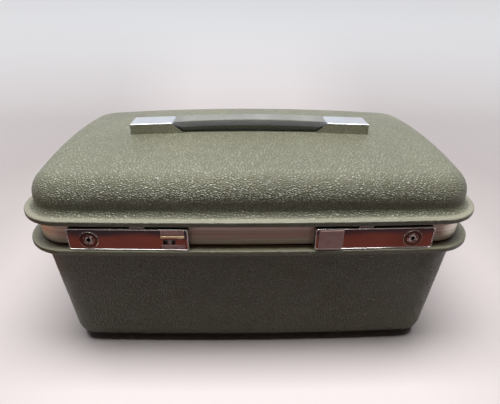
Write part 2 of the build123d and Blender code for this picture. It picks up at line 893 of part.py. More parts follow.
strike_screw_pair = screw_row(strike_screw_plane, strike_screw_spacing)
with BuildPart() as strike_screws:
    add(strike_screw_pair)
    mirror(strike_screw_pair, about=Plane.YZ)

strike_screws.part.label = "strike_screws"
export_step(strike_screws.part, "parts/strike_screws.step")

# Hook plate that hangs from the lid's flange into a latch
with BuildPart() as strike:
    with BuildSketch(latch_plan.offset(strike_bottom)):
        with Locations((strike_middle, -seat_gap)):
            Rectangle(
                strike_width,
                strike_screw_reach + screw_head_radius,
                align=(Align.CENTER, Align.MAX),
            )
    extrude(amount=strike_plate)
    with BuildSketch(latch_face.offset(bolt_back)):
        with Locations((hook_place, hook_bottom)):
            Rectangle(
                hook_width, strike_bottom - hook_bottom, align=(Align.CENTER, Align.MIN)
            )
        with Locations((hook_side, hook_bottom)):
            Rectangle(hook_barb, hook_barb_height, align=(Align.MIN, Align.MIN))
    extrude(amount=bolt_thickness)
    add(strike_screw_room, mode=Mode.SUBTRACT)

export_pair(strike.part, "strike")

# Latch back plate on the band, with two guides for the bolt and a post for its spring
guide_places = [
    hook_place - hook_width / 2 - hook_barb,
    upright_end + slide_travel + hook_width,
]
guide_depth = bolt_front + seat_gap + guide_lip - latch_plate

with BuildPart() as latch_back_plate:
    with BuildSketch(latch_face.offset(latch_plate)):
        with Locations((0, (latch_bottom + plate_top) / 2)):
            Rectangle(latch_length, plate_top - latch_bottom)
    extrude(amount=-2 * latch_plate)
    add(band_outside, mode=Mode.SUBTRACT)
    with BuildSketch(latch_face.offset(latch_plate)):
        for guide in guide_places:
            with Locations((guide, rail_top + seat_gap)):
                Rectangle(guide_width, hook_floor_gap, align=(Align.CENTER, Align.MIN))
    extrude(amount=guide_depth)
    with BuildSketch(latch_face.offset(bolt_front + seat_gap)):
        for guide in guide_places:
            with Locations((guide, rail_top + seat_gap + hook_floor_gap)):
                Rectangle(guide_width, rail_height, align=(Align.CENTER, Align.MAX))
    extrude(amount=guide_lip)
    with BuildSketch(latch_face.offset(latch_plate)):
        with Locations((stop_post, rail_top + seat_gap)):
            Rectangle(post_width, 2 * rail_height, align=(Align.MIN, Align.MIN))
    extrude(amount=latch_inside - latch_plate - seat_gap)
    with BuildSketch(latch_face.offset(latch_plate)):
        with Locations(*stud_places):
            Circle(stud_radius + rivet_clearance)
        with Locations(*latch_rivet_places):
            Circle(rivet_radius + rivet_clearance)
    extrude(amount=-2 * latch_plate, mode=Mode.SUBTRACT)

export_pair(latch_back_plate.part, "latch_back_plate")

# Latch cover: a pressed box with a raised rim, a pad recess, a lock hole and two studs
recess_height = latch_height - 2 * latch_rim_width
stud_back = band_wall + nut_height + 2 * stud_end
hook_slot_width = hook_width + hook_barb + 4 * seat_gap
hook_slot_middle = (hook_place - hook_width / 2 + barb_tip) / 2

with BuildPart() as latch_cover:
    with BuildSketch(latch_face.offset(latch_plate)):
        with Locations((0, latch_middle)):
            RectangleRounded(latch_length, latch_height, latch_corner)
    extrude(amount=latch_depth - latch_plate)
    with BuildSketch(latch_face.offset(latch_plate)):
        with Locations((0, latch_middle)):
            RectangleRounded(
                latch_length - 2 * latch_wall,
                latch_height - 2 * latch_wall,
                latch_corner - latch_wall,
            )
    extrude(amount=latch_inside - latch_plate, mode=Mode.SUBTRACT)
    with BuildSketch(latch_face.offset(latch_depth)):
        with Locations((0, latch_middle)):
            RectangleRounded(latch_length, latch_height, latch_corner)
            RectangleRounded(
                latch_length - 2 * latch_rim_width,
                latch_height - 2 * latch_rim_width,
                latch_corner - latch_rim_width,
                mode=Mode.SUBTRACT,
            )
    extrude(amount=latch_rim_height)
    with BuildSketch(latch_face.offset(latch_depth)):
        with Locations((pad_place, latch_middle)):
            Rectangle(pad_width, recess_height)
    extrude(amount=-recess_depth, mode=Mode.SUBTRACT)
    with BuildSketch(latch_face.offset(latch_depth)):
        with Locations((slot_place, stem_level)):
            Rectangle(slot_length, slot_height)
        with Locations((lock_place, lock_level)):
            Circle(lock_plug_radius + lock_sleeve_wall + 2 * rivet_clearance)
    extrude(amount=-latch_wall, mode=Mode.SUBTRACT)
    with BuildSketch(latch_plan.offset(latch_top)):
        with Locations((hook_slot_middle, -(bolt_back + bolt_front) / 2)):
            Rectangle(hook_slot_width, bolt_thickness + 4 * seat_gap)
    extrude(amount=-latch_wall, mode=Mode.SUBTRACT)
    with BuildSketch(latch_face.offset(latch_inside)):
        with Locations(*stud_places):
            Circle(stud_radius)
    extrude(amount=-latch_inside - stud_back)

export_pair(latch_cover.part, "latch_cover")

# Rivets through the back plates and the band
with BuildPart() as latch_rivet_pair:
    with BuildSketch(latch_face):
        with Locations(*latch_rivet_places):
            Circle(rivet_head_radius)
    rivet_reach = band_wall + 2 * rivet_tail
    extrude(amount=-rivet_reach)
    add(band_inside, mode=Mode.INTERSECT)
    with BuildSketch(latch_face.offset(latch_plate)):
        with Locations(*latch_rivet_places):
            Circle(rivet_head_radius)
    extrude(amount=rivet_head)
    with BuildSketch(latch_face.offset(latch_plate)):
        with Locations(*latch_rivet_places):
            Circle(rivet_radius)
    extrude(amount=-latch_plate - rivet_reach)

with BuildPart() as latch_rivets:
    add(latch_rivet_pair.part)
    mirror(latch_rivet_pair.part, about=Plane.YZ)

latch_rivets.part.label = "latch_rivets"
export_step(latch_rivets.part, "parts/latch_rivets.step")

# Nuts on the cover's studs, inside the band
with BuildPart() as latch_nut_pair:
    with BuildSketch(latch_face):
        with Locations(*stud_places):
            RegularPolygon(nut_radius, 6)
            Circle(stud_radius + running_clearance, mode=Mode.SUBTRACT)
    extrude(amount=-band_wall - nut_height - stud_end)
    add(band_inside, mode=Mode.INTERSECT)

with BuildPart() as latch_nuts:
    add(latch_nut_pair.part)
    mirror(latch_nut_pair.part, about=Plane.YZ)

latch_nuts.part.label = "latch_nuts"
export_step(latch_nuts.part, "parts/latch_nuts.step")


def latch_bolt(shift: float, stem_front: float) -> Part:
    """Slide bolt of a right latch, moved outwards from its inner stop by a shift."""
    stem_bottom = stem_level - stem_height / 2
    with BuildPart() as bolt:
        with BuildSketch(latch_face.offset(bolt_back)):
            with Locations((bolt_start + shift, rail_bottom)):
                Rectangle(bolt_length, rail_height, align=(Align.MIN, Align.MIN))
                Rectangle(
                    pad_width / 2, stem_bottom + stem_height - rail_bottom, align=(Align.MIN, Align.MIN)
                )
            with Locations((upright_start + shift, rail_bottom)):
                Rectangle(
                    upright_width, nose_bottom + nose_height - rail_bottom, align=(Align.MIN, Align.MIN)
                )
            with Locations((nose_tip + shift, nose_bottom)):
                Rectangle(nose_length, nose_height, align=(Align.MIN, Align.MIN))
        extrude(amount=bolt_thickness)
        with BuildSketch(latch_face.offset(bolt_front)):
            with Locations((pad_place + shift, stem_level)):
                Rectangle(stem_width, stem_height)
        extrude(amount=stem_front - bolt_front)
    return bolt.part


def latch_spring(shift: float) -> Part:
    """Flat zigzag spring between the bolt's upright and its post, as compressed."""
    start = upright_end + running_clearance + shift
    length = stop_post - seat_gap - slide_travel - upright_end - running_clearance
    pitch = length / spring_waves
    swing = nose_height - spring_wire / 2
    points = [(start + spring_wire / 2, spring_level)]
    for wave in range(spring_waves):
        side = 1 if wave % 2 == 0 else -1
        points.append((start + (wave + 0.5) * pitch, spring_level + side * swing))
    points.append((start + length - spring_wire / 2, spring_level))
    with BuildPart() as spring:
        with BuildSketch(latch_face.offset(bolt_back)):
            with BuildLine():
                zigzag = FilletPolyline(points, radius=2 * spring_wire)
            trace(zigzag, line_width=spring_wire)
        extrude(amount=bolt_thickness / 2)
    return spring.part


# Right bolt carries the pad; the left one has lost its pad and stands part way along
pad_back = latch_depth + pad_lift
right_bolt = latch_bolt(0, pad_back)
right_bolt.label = "right_latch_bolt"
export_step(right_bolt, "parts/right_latch_bolt.step")

left_bolt = mirror(latch_bolt(left_slide_rest, latch_depth - recess_depth / 2), about=Plane.YZ)
left_bolt.label = "left_latch_bolt"
export_step(left_bolt, "parts/left_latch_bolt.step")

right_spring = latch_spring(0)
right_spring.label = "right_latch_spring"
export_step(right_spring, "parts/right_latch_spring.step")

left_spring = mirror(latch_spring(left_slide_rest), about=Plane.YZ)
left_spring.label = "left_latch_spring"
export_step(left_spring, "parts/left_latch_spring.step")

with BuildPart() as right_latch_pad:
    pad_height = recess_height - 2 * seat_gap
    with BuildSketch(latch_face.offset(pad_back)):
        with Locations((pad_place, latch_middle)):
            RectangleRounded(pad_width, pad_height, 2 * latch_rim_height)
    extrude(amount=pad_thickness)
    pad_front = right_latch_pad.faces().sort_by(Axis.Y)[0]
    fillet(pad_front.edges(), radius=latch_rim_height)

right_latch_pad.part.label = "right_latch_pad"
export_step(right_latch_pad.part, "parts/right_latch_pad.step")

# Brass wear strip in the pad's recess
with BuildPart() as latch_strip:
    with BuildSketch(latch_face.offset(latch_depth - recess_depth)):
        with Locations((pad_place, latch_middle + strip_rise)):
            Rectangle(pad_width - 2 * seat_gap, strip_height)
    extrude(amount=recess_depth)

export_pair(latch_strip.part, "latch_strip")

# Lock ring with a sleeve through the cover
with BuildPart() as lock_ring:
    with BuildSketch(latch_face.offset(latch_depth)):
        with Locations((lock_place, lock_level)):
            Circle(lock_ring_radius)
    extrude(amount=lock_ring_height)
    ring_front = lock_ring.faces().sort_by(Axis.Y)[0]
    fillet(ring_front.edges(), radius=lock_ring_height / 2)
    with BuildSketch(latch_face.offset(latch_depth)):
        with Locations((lock_place, lock_level)):
            Circle(lock_plug_radius + lock_sleeve_wall)
    extrude(amount=-latch_wall - lock_sleeve_depth)
    with BuildSketch(latch_face.offset(latch_depth + lock_ring_height)):
        with Locations((lock_place, lock_level)):
            Circle(lock_plug_radius + running_clearance)
    extrude(amount=-latch_depth, mode=Mode.SUBTRACT)

export_pair(lock_ring.part, "lock_ring")

# Lock cylinder: a plug with a keyhole, and a cam behind the sleeve
sleeve_back = latch_depth - latch_wall - lock_sleeve_depth
cam_front = sleeve_back - seat_gap
with BuildPart() as lock_cylinder:
    with BuildSketch(latch_face.offset(cam_front)):
        with Locations((lock_place, lock_level)):
            Circle(lock_plug_radius)
    extrude(amount=latch_depth + lock_plug_proud - cam_front)
    with BuildSketch(latch_face.offset(latch_depth + lock_plug_proud)):
        with Locations((lock_place, lock_level + key_hole_radius / 2)):
            Circle(key_hole_radius)
            Rectangle(key_slot_width, key_slot_length, align=(Align.CENTER, Align.MAX))
    extrude(amount=-key_depth, mode=Mode.SUBTRACT)
    with BuildSketch(latch_face.offset(cam_front)):
        with Locations((lock_place, lock_level)):
            Circle(cam_width)
            Rectangle(cam_width, cam_length, align=(Align.CENTER, Align.MIN))
    extrude(amount=-cam_thickness)

export_pair(lock_cylinder.part, "lock_cylinder")

# Handle bracket: a chromed channel with side wings, held by three studs
mouth_top = crown_level(bracket_mouth) + bracket_height
end_top = crown_level(bracket_reach) + bracket_height
toe_top = crown_level(bracket_toe) + bracket_toe_height
bracket_floor = crown_level(bracket_reach) - bracket_height
crown = crown_block(0)

with BuildPart() as handle_bracket:
    with BuildSketch(Plane.XZ):
        with BuildLine():
            Polyline(
                (bracket_toe, bracket_floor),
                (bracket_toe, toe_top),
                (bracket_mouth, mouth_top),
                (bracket_reach, end_top),
                (bracket_reach, bracket_floor),
                close=True,
            )
        make_face()
    extrude(amount=bracket_depth / 2, both=True)
    top_edges = handle_bracket.faces().sort_by(Axis.Z)[-1].edges()
    fillet(top_edges, radius=bracket_edge_radius)
    with BuildSketch(Plane.XZ):
        with BuildLine():
            Polyline(
                (bracket_toe - bracket_wall, bracket_floor),
                (bracket_toe - bracket_wall, mouth_top - bracket_wall),
                (bracket_mouth, mouth_top - bracket_wall),
                (bracket_reach - bracket_wall, end_top - bracket_wall),
                (bracket_reach - bracket_wall, bracket_floor),
                close=True,
            )
        make_face()
    extrude(amount=bracket_depth / 2 - bracket_wall, both=True, mode=Mode.SUBTRACT)
    add(crown, mode=Mode.SUBTRACT)
    stud_foot = shell_wall + backing_thickness + handle_nut_height + stud_end
    for stud_x, stud_y in handle_stud_places:
        stud_top = crown_level(stud_x) + bracket_height - bracket_wall / 2
        with Locations((stud_x, stud_y, stud_top)):
            Cylinder(
                stud_radius,
                bracket_height - bracket_wall / 2 + stud_foot,
                align=(Align.CENTER, Align.CENTER, Align.MAX),
            )

export_pair(handle_bracket.part, "handle_bracket")

# Backing plate under the lid's crown, curved to it
backing_middle = (stop_stud_x + end_stud_x) / 2
under_shell = crown_block(shell_wall)
under_plate = crown_block(shell_wall + backing_thickness)

with BuildPart() as backing_plate:
    with BuildSketch(Plane.XY.offset(lid_flange_top)):
        with Locations((backing_middle, 0)):
            RectangleRounded(backing_length, backing_width, latch_corner)
        with Locations(*handle_stud_places):
            Circle(stud_radius + rivet_clearance, mode=Mode.SUBTRACT)
    extrude(amount=lid_height)
    add(under_shell, mode=Mode.INTERSECT)
    add(under_plate, mode=Mode.SUBTRACT)

export_pair(backing_plate.part, "handle_backing_plate")

# Nuts on the handle's studs
with BuildPart() as handle_nut_set:
    for stud_x, stud_y in handle_stud_places:
        nut_bottom = crown_level(stud_x) - shell_wall - backing_thickness - handle_nut_height
        with BuildSketch(Plane.XY.offset(nut_bottom)):
            with Locations((stud_x, stud_y)):
                RegularPolygon(nut_radius, 6)
                Circle(stud_radius + running_clearance, mode=Mode.SUBTRACT)
        extrude(amount=handle_nut_height + backing_thickness)
    add(under_plate, mode=Mode.INTERSECT)

with BuildPart() as handle_nuts:
    add(handle_nut_set.part)
    mirror(handle_nut_set.part, about=Plane.YZ)

handle_nuts.part.label = "handle_nuts"
export_step(handle_nuts.part, "parts/handle_nuts.step")

# Grip skin, arched like the crown and undercut at its ends, bored for the strap
grip_end_level = crown_level(grip_half_length) + grip_clearance
undercut_start = grip_half_length - grip_undercut_length
with BuildPart() as grip_skin:
    with BuildSketch(Plane.XZ):
        with BuildLine():
            under = ThreePointArc(
                (-grip_half_length, grip_end_level), (0, bend_level), (grip_half_length, grip_end_level)
            )
            over = ThreePointArc(
                (-grip_half_length, grip_end_level + grip_thickness),
                (0, bend_level + grip_thickness),
                (grip_half_length, grip_end_level + grip_thickness),
            )
            Line(under @ 0, over @ 0)
            Line(under @ 1, over @ 1)
        make_face()
    extrude(amount=grip_depth / 2, both=True)
    along = grip_skin.edges().filter_by(Axis.Z, reverse=True).filter_by(Axis.Y, reverse=True)
    fillet(along, radius=grip_edge_radius)
    with BuildSketch(Plane.XZ):
        for end in (-1, 1):
            with BuildLine():
                Polyline(
                    (end * undercut_start, grip_end_level - grip_clearance),
                    (end * undercut_start, crown_level(undercut_start) + grip_clearance),
                    (end * grip_half_length, grip_end_level + grip_undercut_height),
                    (end * grip_half_length, grip_end_level - grip_clearance),
                    close=True,
                )
            make_face()
    extrude(amount=grip_depth, both=True, mode=Mode.SUBTRACT)
    with BuildSketch(Plane.YZ.offset(-grip_half_length)):
        with Locations((0, strap_bottom - strap_fit)):
            Rectangle(
                strap_width + 2 * strap_fit,
                strap_thickness + 2 * strap_fit,
                align=(Align.CENTER, Align.MIN),
            )
    extrude(amount=2 * grip_half_length, mode=Mode.SUBTRACT)


def grip_slice(start: float, end: float) -> Part:
    """Stretch of the grip's skin between two places along it."""
    with BuildPart() as stretch:
        with Locations((start, 0, bend_level)):
            Box(
                end - start,
                2 * grip_depth,
                4 * grip_thickness,
                align=(Align.MIN, Align.CENTER, Align.CENTER),
            )
        add(grip_skin.part, mode=Mode.INTERSECT)
    return stretch.part


grip_centre = grip_slice(-grip_bend, grip_bend)
grip_centre.label = "grip_centre"
export_step(grip_centre, "parts/grip_centre.step")

export_pair(grip_slice(grip_bend + bend_gap, grip_half_length), "grip_shoulder")

# Spring-steel strap inside the grip, parted where it bends
with BuildPart() as strap_centre:
    with Locations((0, 0, strap_bottom)):
        Box(
            2 * grip_bend,
            strap_width,
            strap_thickness,
            align=(Align.CENTER, Align.CENTER, Align.MIN),
        )

strap_centre.part.label = "strap_centre"
export_step(strap_centre.part, "parts/strap_centre.step")

with BuildPart() as strap_shoulder:
    with Locations((grip_bend + bend_gap, 0, strap_bottom)):
        Box(
            strap_pivot - bend_gap / 2 - grip_bend - bend_gap,
            strap_width,
            strap_thickness,
            align=(Align.MIN, Align.CENTER, Align.MIN),
        )

export_pair(strap_shoulder.part, "strap_shoulder")

with BuildPart() as strap_tongue:
    with Locations((strap_pivot + bend_gap / 2, 0, strap_bottom)):
        Box(
            strap_end - strap_pivot - bend_gap / 2,
            strap_width,
            strap_thickness,
            align=(Align.MIN, Align.CENTER, Align.MIN),
        )
    with Locations((head_start, 0, strap_bottom)):
        Box(
            strap_head_length,
            strap_head_width,
            strap_thickness,
            align=(Align.MIN, Align.CENTER, Align.MIN),
        )

export_pair(strap_tongue.part, "strap_tongue")

print("lid hinge pin at", pin_y, pin_z)
print("latch slide direction", latch_face.x_dir, "and normal", latch_face.z_dir)
print("lock at", latch_face.from_local_coords((lock_place, lock_level, 0)))
print("grip bends at", bend_place, bend_level, "and", strap_pivot, strap_top)
print("grip bend per metre of lift", 1000 / shoulder_run)
print("full lift turns the grip's shoulders by", degrees(lift_angle))
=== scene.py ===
"""Looks of a small hard-shell travel case: pebbled olive shells, brushed rim bands, polished
latches and brackets, a vinyl grip and padded linings.

Metres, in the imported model's frame: +X to the right of the case, +Y to its hinges, +Z up.
"""

import json
from math import cos, pi, radians, sin, sqrt, tan

import bmesh
import bpy
from mathutils import Matrix, Vector


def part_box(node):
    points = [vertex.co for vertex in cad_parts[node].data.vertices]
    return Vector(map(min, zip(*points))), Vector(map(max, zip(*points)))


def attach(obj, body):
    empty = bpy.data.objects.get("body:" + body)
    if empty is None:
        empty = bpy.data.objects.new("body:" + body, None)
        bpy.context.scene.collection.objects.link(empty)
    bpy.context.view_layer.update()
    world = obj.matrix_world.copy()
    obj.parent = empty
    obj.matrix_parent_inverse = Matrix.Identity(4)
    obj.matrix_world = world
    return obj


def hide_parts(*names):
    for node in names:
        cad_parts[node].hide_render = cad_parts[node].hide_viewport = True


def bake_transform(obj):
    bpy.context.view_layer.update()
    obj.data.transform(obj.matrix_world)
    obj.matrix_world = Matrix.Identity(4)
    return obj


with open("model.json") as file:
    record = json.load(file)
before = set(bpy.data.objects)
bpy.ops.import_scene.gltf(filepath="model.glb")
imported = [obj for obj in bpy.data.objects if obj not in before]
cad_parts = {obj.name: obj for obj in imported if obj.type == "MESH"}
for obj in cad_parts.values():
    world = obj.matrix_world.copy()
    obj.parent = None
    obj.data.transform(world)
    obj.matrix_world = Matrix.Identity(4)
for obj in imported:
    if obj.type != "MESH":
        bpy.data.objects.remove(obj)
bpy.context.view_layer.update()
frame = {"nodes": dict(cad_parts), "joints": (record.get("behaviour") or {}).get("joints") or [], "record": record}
nodes = frame["nodes"]
joints = {joint["name"]: joint for joint in frame["joints"]}

MM = 0.001
UP = Vector((0, 0, 1))

# Sizes and places that the pieces are made from
corner_radius = 39 * MM
side_bow = 2.5 * MM
front_bow = 4.5 * MM
flange_thickness = 4.65 * MM
base_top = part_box("base_shell")[1].z
lid_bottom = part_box("lid_shell")[0].z
grip_low, grip_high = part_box("right_grip_shoulder")
grip_middle_low, grip_middle_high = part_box("grip_centre")
mirror_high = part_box("mirror_frame")[1]
ledge_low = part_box("tray_ledges")[0]
both_sides = ("left_", "right_")


def reach(name, direction):
    """Where a node begins and ends along a direction."""
    places = [vertex.co.dot(direction) for vertex in nodes[name].data.vertices]
    return min(places), max(places)


def latch_axes(side):
    """Directions along a latch, towards the right, and out of its face."""
    along = Vector(joints[side + "latch_slide"]["axis"]).normalized()
    if along.x < 0:
        along = -along
    return along, along.cross(UP)


# Materials

# Nearly all of a noise texture's values lie in this range
NOISE_RANGE = (0.3, 0.7)


class NodeTree:
    """A node tree in the making, with short calls for the nodes that this script uses."""

    def __init__(self, tree):
        self.tree = tree

    def add(self, kind, inputs=None, **settings):
        """A node of one kind. Inputs take values or the outputs of other nodes."""
        node = self.tree.nodes.new(kind)
        for setting, value in settings.items():
            setattr(node, setting, value)
        for socket, value in (inputs or {}).items():
            if isinstance(value, bpy.types.NodeSocket):
                self.tree.links.new(value, node.inputs[socket])
            else:
                node.inputs[socket].default_value = value
        return node

    def axes(self, vector):
        """The outputs X, Y and Z of a vector."""
        return self.add("ShaderNodeSeparateXYZ", {"Vector": vector}).outputs

    def calculate(self, operation, first, second=0.0):
        """Result of an operation on two numbers, or on the first alone if it takes only one."""
        node = self.add("ShaderNodeMath", {0: first, 1: second}, operation=operation)
        return node.outputs["Value"]

    def calculate_vector(self, operation, first, second=None, output="Vector"):
        """Result of an operation on one or two vectors."""
        inputs = {0: first} if second is None else {0: first, 1: second}
        return self.add("ShaderNodeVectorMath", inputs, operation=operation).outputs[output]

    def spread(self, value, low, high, start=0.0, end=1.0):
        """Map a range of values to another, held at both ends."""
        inputs = {
            "Value": value,
            "From Min": low,
            "From Max": high,
            "To Min": start,
            "To Max": end,
        }
        return self.add("ShaderNodeMapRange", inputs).outputs["Result"]

    def mix(self, share, first, second):
        """Colour between two others. A colour is three numbers or an output."""
        share_socket = 0
        colour_sockets = (6, 7)
        result_socket = 2
        inputs = {share_socket: share}
        for socket, colour in zip(colour_sockets, (first, second)):
            inputs[socket] = colour if isinstance(colour, bpy.types.NodeSocket) else (*colour, 1)
        return self.add("ShaderNodeMix", inputs, data_type="RGBA").outputs[result_socket]


class Finish(NodeTree):
    """A node material in the making: its principled shader and the nodes that feed it."""

    def __init__(self, name, roughness, metallic=0.0, **sockets):
        self.material = bpy.data.materials.new(name)
        self.material.use_nodes = True
        super().__init__(self.material.node_tree)
        self.shader = self.tree.nodes["Principled BSDF"]
        self.shader.inputs["Roughness"].default_value = roughness
        self.shader.inputs["Metallic"].default_value = metallic
        for socket, value in sockets.items():
            self.shader.inputs[socket.replace("_", " ")].default_value = value
        coordinates = self.add("ShaderNodeTexCoord").outputs
        self.place = coordinates["Object"]
        self.normal = coordinates["Normal"]

    def feed(self, socket, value):
        """Link an output to one of the shader's inputs."""
        self.tree.links.new(value, self.shader.inputs[socket])

    def level(self):
        """Height above the floor at rest."""
        return self.axes(self.place)["Z"]

    def facing_up(self):
        """How far the surface faces up at rest, from -1 to 1."""
        return self.axes(self.normal)["Z"]

    def stretched(self, x, y, z):
        """Object coordinates scaled apart along the three axes."""
        inputs = {"Vector": self.place, "Scale": (x, y, z)}
        return self.add("ShaderNodeMapping", inputs).outputs["Vector"]

    def noise(self, scale, detail=2.0, vector=None):
        """Cloudy values, mostly within NOISE_RANGE, with a scale per metre."""
        inputs = {"Vector": vector or self.place, "Scale": scale, "Detail": detail}
        return self.add("ShaderNodeTexNoise", inputs).outputs["Fac"]

    def streaks(self, x, y, z, detail=2.0):
        """Noise drawn out along one or two axes, with a scale per metre along each."""
        return self.noise(1, detail, self.stretched(x, y, z))

    def wandering(self, scale, amount):
        """Coordinates pushed about by a noise, so that a pattern loses its regularity."""
        inputs = {"Vector": self.place, "Scale": scale, "Detail": 2.0}
        noise = self.add("ShaderNodeTexNoise", inputs).outputs["Color"]
        push = self.calculate_vector("MULTIPLY", noise, (amount, amount, amount))
        return self.calculate_vector("ADD", self.place, push)

    def cell_edges(self, size, vector):
        """Distance to the edge in a pattern of cells, whose size is in metres."""
        inputs = {"Vector": vector, "Scale": 1 / size}
        node = self.add("ShaderNodeTexVoronoi", inputs, feature="DISTANCE_TO_EDGE")
        return node.outputs["Distance"]

    def bump(self, height, distance, strength=1.0):
        """Bump of a height of 0 to 1, over a distance in metres."""
        inputs = {"Height": height, "Distance": distance, "Strength": strength}
        return self.add("ShaderNodeBump", inputs).outputs["Normal"]


def shell_finish(name, flange_low, flange_high, flange_olive):
    """Pebble-grained olive moulding, smoother on its flange between two heights.

    The flange's upright edge is painted darker than its top, as painted shade.
    """
    pebble_size = 1.45 * MM
    pebble_wander = 2.1 * MM
    wander_scale = 240
    pebble_run = (0.56, 0.56, 1.15)
    crease_width = 0.42
    fine_share = 0.22
    flange_grain = 0.55
    grain_depth = 0.54 * MM
    flange_fade = 0.6 * MM
    upright_fade = (0.25, 0.7)
    patch_light = (0.90, 1.10)
    speck_range = (0.76, 0.80)
    speck_cover = 0.5
    roughness_range = (0.30, 0.42)
    olive = (0.284, 0.292, 0.207)
    # Painted shade: the pebbles' creases are painted darker than their tops
    olive_pit_shade = (0.118, 0.118, 0.080)
    # Painted shade: the flange's upright edge takes 0.6 of the flange's colour
    flange_edge_shade_olive = tuple(0.60 * share for share in flange_olive)
    dust_grey = (0.45, 0.44, 0.38)

    f = Finish(name, roughness=0.4, Specular_IOR_Level=0.56)
    run = f.calculate_vector("MULTIPLY", f.wandering(wander_scale, pebble_wander), pebble_run)
    pebbles = f.spread(f.cell_edges(pebble_size, run), 0.0, crease_width)
    grain = f.calculate("ADD", pebbles, f.calculate("MULTIPLY", f.noise(1500), fine_share))

    level = f.level()
    above = f.spread(level, flange_low - flange_fade, flange_low)
    below = f.spread(level, flange_high, flange_high + flange_fade, 1.0, 0.0)
    flange = f.calculate("MULTIPLY", above, below)
    grain_share = f.spread(flange, 0.0, 1.0, 1.0, flange_grain)
    # How upright the surface is; the flange's painted shade follows it
    upright = f.spread(f.calculate("ABSOLUTE", f.facing_up()), *upright_fade, 1.0, 0.0)

    # Pebble creases take the darker olive, as painted shade
    shade = f.mix(pebbles, olive_pit_shade, olive)
    shade = f.mix(flange, shade, f.mix(upright, flange_olive, flange_edge_shade_olive))
    patches = f.spread(f.noise(11, detail=3.0), *NOISE_RANGE, *patch_light)
    shade = f.add("ShaderNodeHueSaturation", {"Color": shade, "Value": patches}).outputs["Color"]
    dust = f.spread(f.noise(900, detail=1.0), *speck_range, 0.0, speck_cover)
    f.feed("Base Color", f.mix(dust, shade, dust_grey))
    f.feed("Roughness", f.spread(f.noise(70, detail=3.0), *NOISE_RANGE, *roughness_range))
    f.feed("Normal", f.bump(f.calculate("MULTIPLY", grain, grain_share), grain_depth))
    return f.material


def band_finish():
    """Aluminium brushed along the rim, with a thin groove painted dark as painted shade, and painted shade along
    its lower corner: black at the bottom, fading through brown above it.
    """
    groove_level = base_top + 4.5 * MM
    groove_half = 0.22 * MM
    groove_cut = -2.0
    # Painted shade along the band's lower corner: black at the bottom, brown above it, fading out upwards
    corner_level = base_top + 0.9 * MM
    corner_fade = 0.4 * MM
    lower_shade_level = base_top + 4.2 * MM
    lower_shade_share = 0.75
    brushing_depth = 0.05 * MM
    roughness_range = (0.32, 0.50)
    dull_metal = (0.74, 0.69, 0.60)
    bright_metal = (0.97, 0.92, 0.82)
    lower_shade_brown = (0.46, 0.33, 0.27)
    groove_shade_brown = (0.20, 0.16, 0.12)
    corner_shade_black = (0.012, 0.010, 0.009)

    f = Finish("brushed_band", metallic=1.0, roughness=0.3)
    brushing = f.streaks(9, 9, 3800, detail=3.0)
    broad = f.streaks(5, 5, 700)
    level = f.level()
    from_groove = f.calculate("ABSOLUTE", f.calculate("SUBTRACT", level, groove_level))
    groove = f.spread(from_groove, 0.0, groove_half, 1.0, 0.0)
    # Painted shade: black in the lower corner
    corner = f.spread(level, corner_level, corner_level + corner_fade, 1.0, 0.0)
    # Painted shade: brown, fading out upwards
    lower_shade = f.spread(level, corner_level, lower_shade_level, lower_shade_share, 0.0)

    metal = f.mix(f.spread(broad, *NOISE_RANGE), dull_metal, bright_metal)
    metal = f.mix(lower_shade, metal, lower_shade_brown)
    # The groove is painted dark brown, as painted shade
    metal = f.mix(groove, metal, groove_shade_brown)
    f.feed("Base Color", f.mix(corner, metal, corner_shade_black))
    f.feed("Roughness", f.spread(brushing, *NOISE_RANGE, *roughness_range))
    height = f.calculate("ADD", brushing, f.calculate("MULTIPLY", groove, groove_cut))
    f.feed("Normal", f.bump(height, brushing_depth))
    return f.material


def polished_finish(name, tint, roughness, haze, skirt=None):
    """Polished plate with faint rubbing marks, hairlines and a light haze.

    A skirt is a direction and the level along it below which the plate is painted black, as painted shade.
    """
    worn = tuple(0.86 * share for share in tint)
    smudge_range = (0.35, 0.7)
    haze_range = (0.45, 0.75)
    hairline_range = (0.55, 0.75)
    waviness = 0.03 * MM
    skirt_fade = 0.4 * MM
    skirt_shade_black = (0.012, 0.010, 0.010)

    f = Finish(name, metallic=1.0, roughness=roughness)
    smudges = f.noise(55, detail=4.0)
    hairlines = f.streaks(60, 60, 2600)
    dull = f.spread(smudges, *haze_range, roughness, roughness + haze)
    scratched = f.spread(hairlines, *hairline_range, 0.0, haze)
    f.feed("Roughness", f.calculate("ADD", dull, scratched))
    plate = f.mix(f.spread(smudges, *smudge_range), tint, worn)
    if skirt:
        out, level = skirt
        # Painted shade: the cover's skirt, set back behind its face, is painted black
        depth = f.calculate_vector("DOT_PRODUCT", f.place, out, output="Value")
        skirt_shade = f.spread(depth, level - skirt_fade, level, 1.0, 0.0)
        plate = f.mix(skirt_shade, plate, skirt_shade_black)
    f.feed("Base Color", plate)
    f.feed("Normal", f.bump(f.noise(40, detail=1.0), waviness, strength=0.35))
    return f.material


